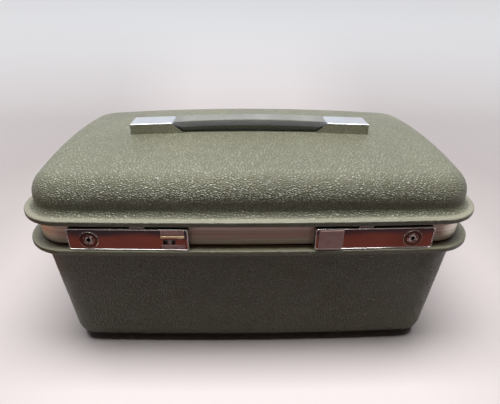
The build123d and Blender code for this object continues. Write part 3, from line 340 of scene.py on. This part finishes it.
def bracket_finish():
    """Chrome with a painted highlight on its upward faces and painted shade on its upright sides."""
    highlight_top_chrome = (0.84, 0.88, 0.94)
    highlight_top_smudge = (0.72, 0.75, 0.80)
    shaded_side_chrome = (0.46, 0.47, 0.44)
    shaded_side_smudge = (0.40, 0.40, 0.37)
    smudge_range = (0.35, 0.7)
    haze_range = (0.4, 0.75)
    top_fade = (0.25, 0.6)
    roughness_range = (0.04, 0.11)
    waviness = 0.03 * MM

    f = Finish("bracket_chrome", metallic=1.0, roughness=0.05)
    smudges = f.noise(60, detail=4.0)
    bright = f.mix(f.spread(smudges, *smudge_range), highlight_top_chrome, highlight_top_smudge)
    shaded_sides = f.mix(f.spread(smudges, *NOISE_RANGE), shaded_side_chrome, shaded_side_smudge)
    # Painted highlight where the chrome faces up, painted shade where it stands upright
    f.feed("Base Color", f.mix(f.spread(f.facing_up(), *top_fade), shaded_sides, bright))
    f.feed("Roughness", f.spread(smudges, *haze_range, *roughness_range))
    f.feed("Normal", f.bump(f.noise(45, detail=1.0), waviness, strength=0.3))
    return f.material


def lock_finish(name, out, middle):
    """Plated plug: a rougher matt ring, painted lighter as a painted highlight, round a keyhole painted black as
    painted shade, polished outside it.
    """
    hole_radius = 1.65 * MM
    ring_radius = 2.7 * MM
    edge_fade = 0.15 * MM
    mottle_range = (0.42, 0.62)
    mottle_depth = 0.3 * MM
    polished_roughness = 0.12
    matt_roughness = 0.42
    polished_plate = (0.80, 0.78, 0.74)
    matt_highlight_plate = (0.97, 0.98, 0.93)
    matt_speck = (0.20, 0.18, 0.16)
    keyhole_shade_black = (0.004, 0.004, 0.004)

    f = Finish(name, metallic=1.0, roughness=polished_roughness)
    place = f.calculate_vector("SUBTRACT", f.place, middle)
    aside = f.calculate_vector("CROSS_PRODUCT", place, out)
    distance = f.calculate_vector("LENGTH", aside, output="Value")
    # Painted shade: black in the keyhole
    keyhole_shade = f.spread(distance, hole_radius, hole_radius + edge_fade, 1.0, 0.0)
    matt = f.spread(distance, ring_radius - edge_fade, ring_radius, 1.0, 0.0)
    mottle = f.spread(f.noise(420, detail=1.0), *mottle_range)

    # The matt ring's lighter colour is a painted highlight; its roughness is real
    plate = f.mix(matt, polished_plate, f.mix(mottle, matt_highlight_plate, matt_speck))
    f.feed("Base Color", f.mix(keyhole_shade, plate, keyhole_shade_black))
    dull = f.calculate("MAXIMUM", matt, keyhole_shade)
    f.feed("Roughness", f.spread(dull, 0.0, 1.0, polished_roughness, matt_roughness))
    f.feed("Normal", f.bump(mottle, mottle_depth, strength=0.6))
    return f.material


def brushed_finish(name, dark, light, roughness):
    """Plain metal with a fine upright brushed grain and a little mottling."""
    brushing_depth = 0.025 * MM
    roughness_range = (roughness - 0.08, roughness + 0.12)

    f = Finish(name, metallic=1.0, roughness=roughness)
    brushing = f.streaks(2600, 2600, 14, detail=3.0)
    mottle = f.noise(130, detail=3.0)
    f.feed("Base Color", f.mix(f.spread(mottle, *NOISE_RANGE), dark, light))
    f.feed("Roughness", f.spread(brushing, *NOISE_RANGE, *roughness_range))
    f.feed("Normal", f.bump(brushing, brushing_depth))
    return f.material


def vinyl_finish():
    """Slate vinyl with a fine leather grain, rubbed paler where hands hold it."""
    grain_size = 0.9 * MM
    grain_wander = 0.8 * MM
    wander_scale = 600
    crease_width = 0.3
    grain_depth = 0.14 * MM
    top_level = 196.4 * MM
    top_fade = 2.2 * MM
    rubbed_range = (0.4, 0.7)
    roughness_range = (0.46, 0.36)
    slate_pit = (0.125, 0.130, 0.134)
    slate = (0.222, 0.228, 0.235)
    pale = (0.210, 0.214, 0.200)
    pale_rubbed = (0.258, 0.262, 0.245)

    f = Finish("grip_vinyl", roughness=0.42, Specular_IOR_Level=0.55)
    creases = f.cell_edges(grain_size, f.wandering(wander_scale, grain_wander))
    grain = f.spread(creases, 0.0, crease_width)
    rubbed = f.spread(f.noise(45, detail=3.0), *rubbed_range)
    top = f.spread(f.level(), top_level - top_fade, top_level)
    sides = f.mix(grain, slate_pit, slate)
    f.feed("Base Color", f.mix(top, sides, f.mix(rubbed, pale, pale_rubbed)))
    f.feed("Roughness", f.spread(rubbed, 0.0, 1.0, *roughness_range))
    f.feed("Normal", f.bump(grain, grain_depth))
    return f.material


def satin_finish():
    """Satin lining cloth: a fine weave, slubs and a soft sheen."""
    thread = 0.42 * MM
    wave_scale = 0.32 / thread
    thread_depth = 0.05 * MM
    slub_range = (0.35, 0.7)
    roughness_range = (0.58, 0.44)
    straw = (0.46, 0.40, 0.27)
    pale_straw = (0.60, 0.54, 0.39)

    f = Finish("lining_satin", roughness=0.52, Sheen_Weight=0.35, Sheen_Roughness=0.35)
    threads = []
    for direction in ("X", "DIAGONAL"):
        inputs = {"Vector": f.place, "Scale": wave_scale, "Distortion": 0.6, "Detail": 1.0}
        wave = f.add("ShaderNodeTexWave", inputs, bands_direction=direction)
        threads.append(wave.outputs["Fac"])
    slubs = f.spread(f.streaks(90, 900, 90), *slub_range)
    f.feed("Base Color", f.mix(slubs, straw, pale_straw))
    f.feed("Roughness", f.spread(slubs, 0.0, 1.0, *roughness_range))
    f.feed("Normal", f.bump(f.calculate("ADD", *threads), thread_depth))
    return f.material


def moulded_finish(name, dark, light, roughness):
    """Moulded plastic with faint flow marks and fine scratches."""
    scratch_range = (0.4, 0.75)
    scratch_roughness = 0.18
    grain_depth = 0.03 * MM

    f = Finish(name, roughness=roughness, Specular_IOR_Level=0.5)
    flow = f.spread(f.noise(9, detail=4.0), *NOISE_RANGE)
    scratches = f.streaks(40, 1200, 1200)
    f.feed("Base Color", f.mix(flow, dark, light))
    f.feed("Roughness", f.spread(scratches, *scratch_range, roughness, roughness + scratch_roughness))
    f.feed("Normal", f.bump(f.noise(700), grain_depth))
    return f.material


def rubber_finish():
    """Matt rubber, scuffed and dusty."""
    rubber_black = (0.018, 0.018, 0.018)
    scuff_grey = (0.075, 0.070, 0.062)
    scuff_range = (0.42, 0.72)
    grain_depth = 0.08 * MM

    f = Finish("foot_rubber", roughness=0.8, Specular_IOR_Level=0.35)
    scuffs = f.spread(f.noise(240, detail=4.0), *scuff_range)
    f.feed("Base Color", f.mix(scuffs, rubber_black, scuff_grey))
    f.feed("Normal", f.bump(f.noise(1100, detail=3.0), grain_depth))
    return f.material


def silvering_finish():
    """Silvered glass with a few foxed spots."""
    silver = (0.86, 0.88, 0.88)
    fox_brown = (0.42, 0.36, 0.28)
    fox_range = (0.66, 0.74)
    roughness_range = (0.02, 0.25)

    f = Finish("mirror_silver", metallic=1.0, roughness=0.02)
    fox = f.spread(f.noise(60, detail=5.0), *fox_range)
    f.feed("Base Color", f.mix(fox, silver, fox_brown))
    f.feed("Roughness", f.spread(fox, 0.0, 1.0, *roughness_range))
    return f.material


# Bright plating of several pieces
chrome = {"tint": (0.86, 0.85, 0.84), "roughness": 0.045, "haze": 0.05}
finishes = {
    "band": band_finish(),
    "chrome": polished_finish("polished_chrome", **chrome),
    "hinge": polished_finish("satin_plate", (0.70, 0.69, 0.67), roughness=0.16, haze=0.14),
    "steel": brushed_finish("plain_steel", (0.42, 0.42, 0.43), (0.58, 0.58, 0.59), roughness=0.36),
    "brass": brushed_finish("worn_brass", (0.60, 0.45, 0.24), (0.84, 0.67, 0.42), roughness=0.28),
    "pad": brushed_finish("mauve_pad", (0.46, 0.34, 0.33), (0.60, 0.46, 0.44), roughness=0.44),
    "lock": polished_finish("plated_lock", (0.80, 0.72, 0.60), roughness=0.12, haze=0.14),
    "fastener": brushed_finish("plated_fastener", (0.5, 0.5, 0.49), (0.7, 0.7, 0.69), roughness=0.30),
    "grip": vinyl_finish(),
    "lining": satin_finish(),
    "tray": moulded_finish("cream_plastic", (0.56, 0.50, 0.38), (0.64, 0.58, 0.46), roughness=0.34),
    "foot": rubber_finish(),
    "mirror": silvering_finish(),
}


def own_finishes():
    """Finishes of the nodes that don't take the one of their slot."""
    flange_reach = flange_thickness + 0.1 * MM
    base_flange = (0.315, 0.308, 0.218)
    lid_flange = (0.262, 0.256, 0.192)
    skirt_depth = 1.0 * MM
    bracket_chrome = bracket_finish()
    ring_plate = polished_finish("dull_plate", (0.46, 0.43, 0.40), roughness=0.10, haze=0.12)
    found = {
        "base_shell": shell_finish("base_grain", base_top - flange_reach, base_top, base_flange),
        "lid_shell": shell_finish("lid_grain", lid_bottom, lid_bottom + flange_reach, lid_flange),
    }
    for side in both_sides:
        out = latch_axes(side)[1]
        # The cover is painted black as painted shade from this depth behind its face
        skirt = (out, reach(side + "latch_cover", out)[1] - skirt_depth)
        cover_chrome = polished_finish(side + "cover_chrome", **chrome, skirt=skirt)
        ring_middle = sum(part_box(side + "lock_ring"), Vector()) / 2
        found[side + "handle_bracket"] = bracket_chrome
        found[side + "latch_cover"] = cover_chrome
        found[side + "lock_ring"] = ring_plate
        found[side + "lock_cylinder"] = lock_finish(side + "plug", out, ring_middle)
    return found


node_finishes = own_finishes()


def dress(node, material):
    """Give a CAD node its finish."""
    node.data.materials.clear()
    node.data.materials.append(material)


for row in frame["record"]["subparts"]:
    dress(nodes[row["node"]], node_finishes.get(row["node"]) or finishes[row["material_slot"]])


# Meshes


def new_piece(name, mesh, slot, body=None, smooth_angle=None, finish=None):
    """Object of a mesh, dressed in its slot's finish or its own, and riding on a body."""
    piece = bpy.data.objects.new(name, mesh)
    bpy.context.scene.collection.objects.link(piece)
    mesh.materials.append(finish or finishes[slot])
    mesh.shade_smooth()
    if smooth_angle:
        mesh.set_sharp_from_angle(angle=smooth_angle)
    if body:
        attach(piece, body)
    return piece


def mesh_of_rings(name, rings, joined=False):
    """Skin over closed rings of points, capped at both ends or joined to a loop."""
    count = len(rings[0])
    points = [point for ring in rings for point in ring]
    faces = []
    for turn in range(len(rings) if joined else len(rings) - 1):
        near = turn * count
        far = (turn + 1) % len(rings) * count
        for place in range(count):
            ahead = (place + 1) % count
            faces.append((near + place, near + ahead, far + ahead, far + place))
    if not joined:
        faces.append(tuple(reversed(range(count))))
        faces.append(tuple(range(len(points) - count, len(points))))
    mesh = bpy.data.meshes.new(name)
    mesh.from_pydata(points, [], faces)
    grown = bmesh.new()
    grown.from_mesh(mesh)
    bmesh.ops.recalc_face_normals(grown, faces=grown.faces)
    grown.to_mesh(mesh)
    grown.free()
    return mesh


def rounded_loop(corners, steps=5):
    """Closed outline through corners given as (across, up, radius), each rounded by an arc."""
    loop = []
    for place, (across, up, radius) in enumerate(corners):
        corner = Vector((across, up))
        before = Vector(corners[place - 1][:2]) - corner
        after = Vector(corners[(place + 1) % len(corners)][:2]) - corner
        half = before.angle(after) / 2
        before.normalize()
        after.normalize()
        start = corner + before * radius / tan(half)
        end = corner + after * radius / tan(half)
        centre = corner + (before + after).normalized() * radius / sin(half)
        for step in range(steps + 1):
            along = start.lerp(end, step / steps)
            loop.append(centre + (along - centre).normalized() * radius)
    return loop


def case_loop(half_x, half_y, radius, straight=36, turn=12):
    """Plan outline of the case at one inset: four bowed sides joined by round corners.

    Each side has a number of straight steps, and each corner a number of steps round its turn.
    """
    corner_x = half_x - radius
    corner_y = half_y - radius
    centres = (
        (corner_x, -corner_y),
        (corner_x, corner_y),
        (-corner_x, corner_y),
        (-corner_x, -corner_y),
    )
    loop = []
    for quarter, (centre_x, centre_y) in enumerate(centres):
        run = corner_x if quarter % 2 == 0 else corner_y
        for step in range(straight):
            slide = -run + 2 * run * step / straight
            flat = ((slide, -half_y), (half_x, slide), (-slide, half_y), (-half_x, -slide))
            loop.append(flat[quarter])
        for step in range(turn):
            angle = pi / 2 * (quarter - 1 + step / turn)
            loop.append((centre_x + radius * cos(angle), centre_y + radius * sin(angle)))
    bowed = []
    for x, y in loop:
        pull_x = side_bow * (y / half_y) ** 2 * x / half_x
        pull_y = front_bow * (x / half_x) ** 2 * y / half_y
        bowed.append((x - pull_x, y - pull_y))
    return bowed


# Grip

grip_length = grip_high.x
grip_end_radius = 0.9 * MM


def grip_section(place):
    """Outline across the grip at one place along its half.

    It is flat on top, ridged along its sides and cut back under its end.
    """
    thickness = grip_middle_high.z - grip_middle_low.z
    arch = grip_middle_low.z - grip_low.z + 1.05 * MM
    thinning = 0.8 * MM
    undercut_length = 8.5 * MM
    undercut_rise = 3.4 * MM
    ridge_share = 0.47
    top_draw = 1.1 * MM
    bottom_draw = 2.0 * MM
    top_round = 1.1 * MM
    ridge_round = 1.2 * MM
    bottom_round = 1.4 * MM

    bow = (place / grip_length) ** 2
    bottom = grip_middle_low.z - arch * bow
    top = bottom + thickness - thinning * bow
    undercut = max(0, place - grip_length + undercut_length) / undercut_length
    bottom += undercut_rise * undercut
    beyond = max(0, place - grip_length + grip_end_radius)
    shrink = grip_end_radius - sqrt(max(0, grip_end_radius**2 - beyond**2))
    half = (grip_high.y - grip_low.y) / 2 - shrink
    bottom += shrink
    top -= shrink
    ridge = bottom + ridge_share * (top - bottom)
    corners = [
        (-half + bottom_draw, bottom, bottom_round),
        (half - bottom_draw, bottom, bottom_round),
        (half, ridge, ridge_round),
        (half - top_draw, top, top_round),
        (-half + top_draw, top, top_round),
        (-half, ridge, ridge_round),
    ]
    return rounded_loop(corners)


def grip_half(label, side):
    """Half of the grip: one skin from its middle to its end at the shoulder, arched down towards the end."""
    plain_steps = 44
    end_steps = 4
    places = [grip_length * step / plain_steps for step in range(plain_steps)]
    for step in range(end_steps + 1):
        short = grip_end_radius * (1 - sin(pi / 2 * step / end_steps))
        places.append(grip_length - short)
    rings = []
    for place in sorted(places):
        rings.append([(side * place, point.x, point.y) for point in grip_section(place)])
    mesh = mesh_of_rings(f"{label}_grip_half", rings)
    piece = new_piece(f"{label}_grip_half", mesh, "grip", smooth_angle=radians(40))
    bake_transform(piece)
    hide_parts(f"{label}_grip_shoulder", "grip_centre")
    return piece


for label, side in (("left", -1), ("right", 1)):
    grip_half(label, side)


# Linings


class Lining:
    """A padded cloth liner on a thin board, open at one end and closed by a floor or crown.

    Its rise is 1 where the closed end is on top and -1 where it is at the bottom. The crown is
    how far the closed end falls off towards the sides and towards the front and back.
    """

    wall = 1.2 * MM
    least_radius = 1.5 * MM
    middle_half = 1.0 * MM

    def __init__(self, node, corner, turn_radius, rise, draft=0.0, crown=(0.0, 0.0)):
        low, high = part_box(node)
        self.node = node
        self.half_x = high.x
        self.half_y = high.y
        self.corner = corner
        self.turn_radius = turn_radius
        self.rise = rise
        self.draft = draft
        self.crown = crown
        self.open_level = low.z if rise > 0 else high.z
        self.closed_level = high.z if rise > 0 else low.z

    def ring(self, thickness, inset, drop, wall_share=1.0):
        """Ring of points drawn in by an inset and dropped off the closed end.

        The wall's share is how far the ring has come from the open end, from 0 to 1.
        """
        draw = inset + thickness
        radius = max(self.corner - draw, self.least_radius)
        points = []
        for x, y in case_loop(self.half_x - draw, self.half_y - draw, radius):
            fall = self.crown[0] * (x / self.half_x) ** 2 + self.crown[1] * (y / self.half_y) ** 2
            closed = self.closed_level - self.rise * (fall + thickness + drop)
            points.append((x, y, self.open_level + wall_share * (closed - self.open_level)))
        return points

    def rings(self, thickness, wall_steps=16, turn_steps=8, floor_step=3.6 * MM):
        """Rings from the open rim, up the wall, round the turn and over to the middle."""
        radius = self.turn_radius - thickness
        wall_draft = self.draft * abs(self.closed_level - self.open_level)
        found = []
        for step in range(wall_steps):
            share = step / wall_steps
            found.append(self.ring(thickness, wall_draft * share, radius, share))
        for step in range(turn_steps):
            angle = pi / 2 * step / turn_steps
            inset = wall_draft + radius * (1 - cos(angle))
            found.append(self.ring(thickness, inset, radius * (1 - sin(angle))))
        first = wall_draft + radius
        last = self.half_y - thickness - self.middle_half
        floor_steps = int((last - first) / floor_step)
        for step in range(floor_steps + 1):
            found.append(self.ring(thickness, first + (last - first) * step / floor_steps, 0.0))
        return found

    def piece(self, name, body, puff):
        """Liner with a smooth board side and a puffed cloth side, as one closed mesh."""
        board = self.rings(0.0)
        cloth = self.rings(self.wall)
        mesh = mesh_of_rings(name, list(reversed(board)) + cloth)
        first_puffed = (len(board) + 1) * len(board[0])
        grown = bmesh.new()
        grown.from_mesh(mesh)
        grown.normal_update()
        for vertex in grown.verts:
            if vertex.index >= first_puffed:
                vertex.co += vertex.normal * puff(vertex.co, vertex.normal)
        grown.to_mesh(mesh)
        grown.free()
        piece = new_piece(name, mesh, "lining", body, smooth_angle=radians(60))
        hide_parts(self.node)
        return piece


def held(value):
    """Value held between 0 and 1."""
    return min(1.0, max(0.0, value))


def quilted(place, pitch, height):
    """How far a diamond quilting puffs out at a place of its plan."""
    u = (place.x + place.y) / sqrt(2) / pitch
    v = (place.x - place.y) / sqrt(2) / pitch
    return height * sqrt(abs(sin(pi * u) * sin(pi * v)))


def lid_puff(place, normal):
    """Quilting on the lid's crown, flat behind the mirror, and soft pads on its walls."""
    mirror_margin = 1 * MM
    mirror_fade = 10 * MM
    quilt_pitch = 23 * MM
    quilt_height = 2.6 * MM
    wall_puff = 0.5 * MM
    outside = max(abs(place.x) - mirror_high.x, abs(place.y) - mirror_high.y)
    free = held((outside - mirror_margin) / mirror_fade)
    crown = abs(normal.z)
    return quilted(place, quilt_pitch, quilt_height) * free * crown + wall_puff * (1 - crown)


def base_puff(place, normal):
    """Quilting on the base's floor, and walls that swell gently below the ledges."""
    ledge_margin = 6 * MM
    swell_height = 20 * MM
    swell_depth = 1.4 * MM
    ripple_share = 0.3
    ripple_rate = 90
    quilt_pitch = 30 * MM
    quilt_height = 2.0 * MM
    below = held((ledge_low.z - ledge_margin - place.z) / swell_height)
    floor = abs(normal.z)
    ripple = 1 - ripple_share + ripple_share * cos(ripple_rate * place.x)
    swell = max(0.0, swell_depth * (1 - floor) * sin(pi * below) * ripple)
    return quilted(place, quilt_pitch, quilt_height) * floor + swell


lid_liner = Lining(
    "lid_lining", corner=27.4 * MM, turn_radius=10 * MM, rise=1, crown=(5.6 * MM, 6.6 * MM)
)
base_liner = Lining(
    "base_lining", corner=25.5 * MM, turn_radius=11.7 * MM, rise=-1, draft=tan(radians(4.8))
)
lid_liner.piece("lid_liner", "lid", lid_puff)
base_liner.piece("base_liner", "base", base_puff)


# Trim on the shells and latches


def lid_cove():
    """Hollow round that leads the lid's wall out into its flange, all the way round."""
    radius = 6.0 * MM
    buried = 0.7 * MM
    sunk = 0.03 * MM
    steps = 10
    shell = nodes["lid_shell"]
    shell_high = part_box("lid_shell")[1]
    level = lid_bottom + flange_thickness + radius
    outside = case_loop(shell_high.x, shell_high.y, corner_radius, straight=30, turn=24)
    rings = []
    for place, (x, y) in enumerate(outside):
        before = Vector(outside[place - 1])
        after = Vector(outside[(place + 1) % len(outside)])
        along = (after - before).normalized()
        inward = Vector((-along.y, along.x, 0))
        hit = shell.ray_cast(Vector((x, y, level)), inward)
        wall, normal = hit[1:3]
        out = Vector((normal.x, normal.y, 0)).normalized()
        foot = wall - UP * radius - (out + UP) * sunk
        ring = []
        for step in range(steps + 1):
            angle = pi / 2 * step / steps
            ring.append(foot + out * radius * (1 - cos(angle)) + UP * radius * (1 - sin(angle)))
        ring.append(foot + out * radius - UP * buried)
        ring.append(foot - (out + UP) * buried)
        ring.append(foot - out * buried + UP * radius)
        rings.append(ring)
    mesh = mesh_of_rings("lid_cove", rings, joined=True)
    grain = node_finishes["lid_shell"]
    return new_piece("lid_cove", mesh, "shell", "lid", smooth_angle=radians(40), finish=grain)


def latch_bead(side):
    """Rolled edge of a latch's pressed cover."""
    radius = 0.42 * MM
    inset = 0.40 * MM
    corner = 1.55 * MM
    corner_steps = 6
    wire_sides = 10
    along, out = latch_axes(side)
    start, end = reach(side + "latch_cover", along)
    low, high = reach(side + "latch_cover", UP)
    face = reach(side + "latch_cover", out)[1]
    middle = along * (start + end) / 2 + UP * (low + high) / 2 + out * face
    half_length = (end - start) / 2 - inset
    half_height = (high - low) / 2 - inset
    corners = [
        (-half_length, -half_height, corner),
        (half_length, -half_height, corner),
        (half_length, half_height, corner),
        (-half_length, half_height, corner),
    ]
    outline = rounded_loop(corners, corner_steps)
    loop = [middle + along * point.x + UP * point.y for point in outline]
    turns = [2 * pi * step / wire_sides for step in range(wire_sides)]
    rings = []
    for place, point in enumerate(loop):
        ahead = (loop[(place + 1) % len(loop)] - loop[place - 1]).normalized()
        across = ahead.cross(out)
        rings.append([point + (across * cos(turn) + out * sin(turn)) * radius for turn in turns])
    mesh = mesh_of_rings(side + "latch_bead", rings, joined=True)
    return new_piece(side + "latch_bead", mesh, "chrome", "base")


def strip_edge(name, axes, ends, face, levels):
    """Half-round brass edge along a strip, between two ends and two levels on its face."""
    steps = 10
    along, out = axes
    low, high = levels
    radius = (high - low) / 2
    rings = []
    for end in ends:
        ring = []
        for step in range(steps + 1):
            angle = pi * (step / steps - 0.5)
            proud = face + radius * cos(angle)
            level = (high + low) / 2 + radius * sin(angle)
            ring.append(along * end + out * proud + UP * level)
        rings.append(ring)
    mesh = mesh_of_rings(name, rings)
    return new_piece(name, mesh, "brass", "base", smooth_angle=radians(50))


def ribbed_plate(name, axes, centre, width, height):
    """Upright plate with fine vertical ribs, as one closed strip."""
    rib_pitch = 0.72 * MM
    rib_depth = 0.32 * MM
    web_share = 0.35
    rib_steps = 6
    along, out = axes
    steps = int(width / rib_pitch) * rib_steps
    profile = []
    for step in range(steps + 1):
        swell = 0.5 - 0.5 * cos(2 * pi * step / rib_steps)
        proud = rib_depth * (web_share + (1 - web_share) * swell)
        profile.append((-width / 2 + width * step / steps, proud))
    profile.append((width / 2, 0.0))
    profile.append((-width / 2, 0.0))
    rings = []
    for end in (-1, 1):
        rise = UP * end * height / 2
        rings.append([centre + along * place + out * proud + rise for place, proud in profile])
    mesh = mesh_of_rings(name, rings)
    return new_piece(name, mesh, "pad", "base", smooth_angle=radians(50))


def window_trim():
    """Ribbed bands above and below the left latch's open window, and its strip's round edge."""
    edge_back = 0.35 * MM
    band_inset = 0.15 * MM
    band_sink = 0.25 * MM
    bands = (("upper", 3.45 * MM, 5.0 * MM), ("lower", -9.2 * MM, 3.4 * MM))
    axes = latch_axes("left_")
    along, out = axes
    start, end = reach("left_latch_strip", along)
    back, face = reach("left_latch_strip", out)
    low, high = reach("left_latch_strip", UP)
    strip_edge("left_window_strip_edge", axes, (start, end), face - edge_back, (low, high))
    middle = along * (start + end) / 2 + out * ((back + face) / 2 - band_sink)
    width = end - start - 2 * band_inset
    for label, rise, height in bands:
        centre = middle + UP * ((low + high) / 2 + rise)
        ribbed_plate(f"left_window_{label}_ribs", axes, centre, width, height)


lid_cove()
for side in both_sides:
    latch_bead(side)
window_trim()


# Studio


def stage_mesh(name, points, faces, material):
    """Part of the studio, which is no part of the case."""
    mesh = bpy.data.meshes.new(name)
    mesh.from_pydata(points, [], faces)
    mesh.materials.append(material)
    piece = bpy.data.objects.new(name, mesh)
    bpy.context.scene.collection.objects.link(piece)
    return piece


def paper_finish():
    """Paper that shows pale to the camera and metal, with painted shade towards its sides, and throws less light
    on the case.
    """
    floor_seen = (0.74, 0.68, 0.69)
    # Painted shade: the floor shows darker to the sides
    floor_seen_shaded_aside = tuple(0.78 * share for share in floor_seen)
    wall_seen = (0.76, 0.79, 0.85)
    floor_thrown = (0.175, 0.135, 0.115)
    floor_thrown_far = tuple(0.22 * share for share in floor_thrown)
    wall_thrown = (0.36, 0.37, 0.40)
    aside_shade_fade = (0.14, 0.36)
    near_fade = (0.22, 0.42)
    wall_seen_rise = (0.0, 0.22)
    wall_thrown_rise = (0.05, 0.40)
    glow_fade = (0.55, 1.9)
    glow = 0.72
    glow_white = (1.0, 0.985, 1.0, 1.0)

    f = Finish("pale_paper", roughness=0.9, Specular_IOR_Level=0.1)
    path = f.add("ShaderNodeLightPath").outputs
    seen = f.calculate("MAXIMUM", path["Is Camera Ray"], path["Is Glossy Ray"])
    seen = f.calculate("MAXIMUM", seen, path["Is Transmission Ray"])
    parts = f.axes(f.place)
    aside = f.spread(f.calculate("ABSOLUTE", parts["X"]), *aside_shade_fade)
    distance = f.calculate_vector("LENGTH", f.place, output="Value")

    # Floor colour with painted shade towards the sides
    shown = f.mix(aside, floor_seen, floor_seen_shaded_aside)
    shown = f.mix(f.spread(parts["Z"], *wall_seen_rise), shown, wall_seen)
    thrown = f.mix(f.spread(distance, *near_fade), floor_thrown, floor_thrown_far)
    thrown = f.mix(f.spread(parts["Z"], *wall_thrown_rise), thrown, wall_thrown)
    f.feed("Base Color", f.mix(seen, thrown, shown))
    far = f.spread(distance, *glow_fade, 0.0, glow)
    f.feed("Emission Strength", f.calculate("MULTIPLY", far, seen))
    f.shader.inputs["Emission Color"].default_value = glow_white
    return f.material


def floor_sheet():
    """Pale floor that turns up into a back wall."""
    half = 4.0
    front_y = -4.0
    wall_y = 0.95
    wall_top = 2.2
    turn = 0.30
    steps = 10
    profile = [(front_y, 0.0)]
    for step in range(steps + 1):
        angle = pi / 2 * step / steps
        profile.append((wall_y - turn + turn * sin(angle), turn - turn * cos(angle)))
    profile.append((wall_y, wall_top))
    points = []
    for y, z in profile:
        points += [(-half, y, z), (half, y, z)]
    faces = [(2 * i, 2 * i + 1, 2 * i + 3, 2 * i + 2) for i in range(len(profile) - 1)]
    sheet = stage_mesh("floor_sheet", points, faces, paper_finish())
    sheet.data.shade_smooth()
    return sheet


def table_card(name, dark, light, across, along):
    """Mottled tabletop beside the case, darker far in front, which only metal sees."""
    level = 0.5 * MM
    waviness = 8 * MM
    shade_start = -322 * MM
    shade_end = -310 * MM
    shade_black = (0.016, 0.010, 0.013)
    left, right = across
    near, far = along
    points = [(left, near, level), (right, near, level), (right, far, level), (left, far, level)]

    f = Finish(name, roughness=0.9, Specular_IOR_Level=0.1)
    wood = f.mix(f.spread(f.noise(14, detail=4.0), *NOISE_RANGE), dark, light)
    wave = f.spread(f.noise(7, detail=1.0), *NOISE_RANGE, -waviness, waviness)
    depth = f.calculate("ADD", f.axes(f.place)["Y"], wave)
    shade = f.spread(depth, shade_start, shade_end, 1.0, 0.0)
    f.feed("Base Color", f.mix(shade, wood, shade_black))
    card = stage_mesh(name, points, [(0, 1, 2, 3)], f.material)
    for ray in ("camera", "diffuse", "shadow", "transmission", "volume_scatter"):
        setattr(card, f"visible_{ray}", False)
    return card


def ceiling_lamp():
    """Soft rectangular lamp that looks straight down."""
    lamp = bpy.data.lights.new("ceiling_lamp", "AREA")
    lamp.shape = "RECTANGLE"
    lamp.size = 1.2
    lamp.size_y = 0.58
    lamp.energy = 27.0
    lamp.color = (1.0, 0.99, 0.97)
    holder = bpy.data.objects.new("ceiling_lamp", lamp)
    holder.location = (-0.03, -0.11, 1.35)
    bpy.context.scene.collection.objects.link(holder)
    return holder


def studio_world():
    """Room light: bright above and behind, dim and warm in front; pale to the camera."""
    front_thrown = (0.012, 0.009, 0.007)
    front_mirrored = (0.15, 0.102, 0.082)
    back = (0.26, 0.27, 0.30)
    camera_grey = (0.78, 0.78, 0.80)
    back_fade = (-0.3, 0.7)

    world = bpy.data.worlds.new("studio_world")
    bpy.context.scene.world = world
    world.use_nodes = True
    f = NodeTree(world.node_tree)
    path = f.add("ShaderNodeLightPath").outputs
    depth = f.axes(f.add("ShaderNodeTexCoord").outputs["Generated"])["Y"]
    front = f.mix(path["Is Glossy Ray"], front_thrown, front_mirrored)
    room = f.mix(f.spread(depth, *back_fade), front, back)
    shown = f.mix(path["Is Camera Ray"], room, camera_grey)
    background = world.node_tree.nodes["Background"]
    background.inputs["Strength"].default_value = 1.0
    world.node_tree.links.new(shown, background.inputs["Color"])
    return world


def photo_camera():
    """Camera at the photograph's viewpoint."""
    place = (-0.0077, -0.3736, 0.3049)
    pitch = 0.4927
    yaw = 0.0225
    roll = 0.0071
    lens = bpy.data.cameras.new("camera")
    lens.sensor_width = 36.0
    lens.lens = 28.47
    holder = bpy.data.objects.new("camera", lens)
    bpy.context.scene.collection.objects.link(holder)
    turn = Matrix.Rotation(-yaw, 4, "Z") @ Matrix.Rotation(pi / 2 - pitch, 4, "X")
    turn = turn @ Matrix.Rotation(roll, 4, "Z")
    holder.matrix_world = Matrix.Translation(place) @ turn
    bpy.context.scene.camera = holder
    return holder


# Dark and light of each tabletop
brown = ((0.078, 0.0175, 0.012), (0.098, 0.0225, 0.0155))
orange = ((0.19, 0.085, 0.045), (0.26, 0.12, 0.065))
floor_sheet()
table_card("brown_table", *brown, across=(-0.9, 0.9), along=(-0.80, -0.20))
table_card("orange_table", *orange, across=(-0.9, -0.26), along=(-0.19, 0.16))
ceiling_lamp()
studio_world()
photo_camera()
bpy.context.scene.view_settings.view_transform = "Standard"
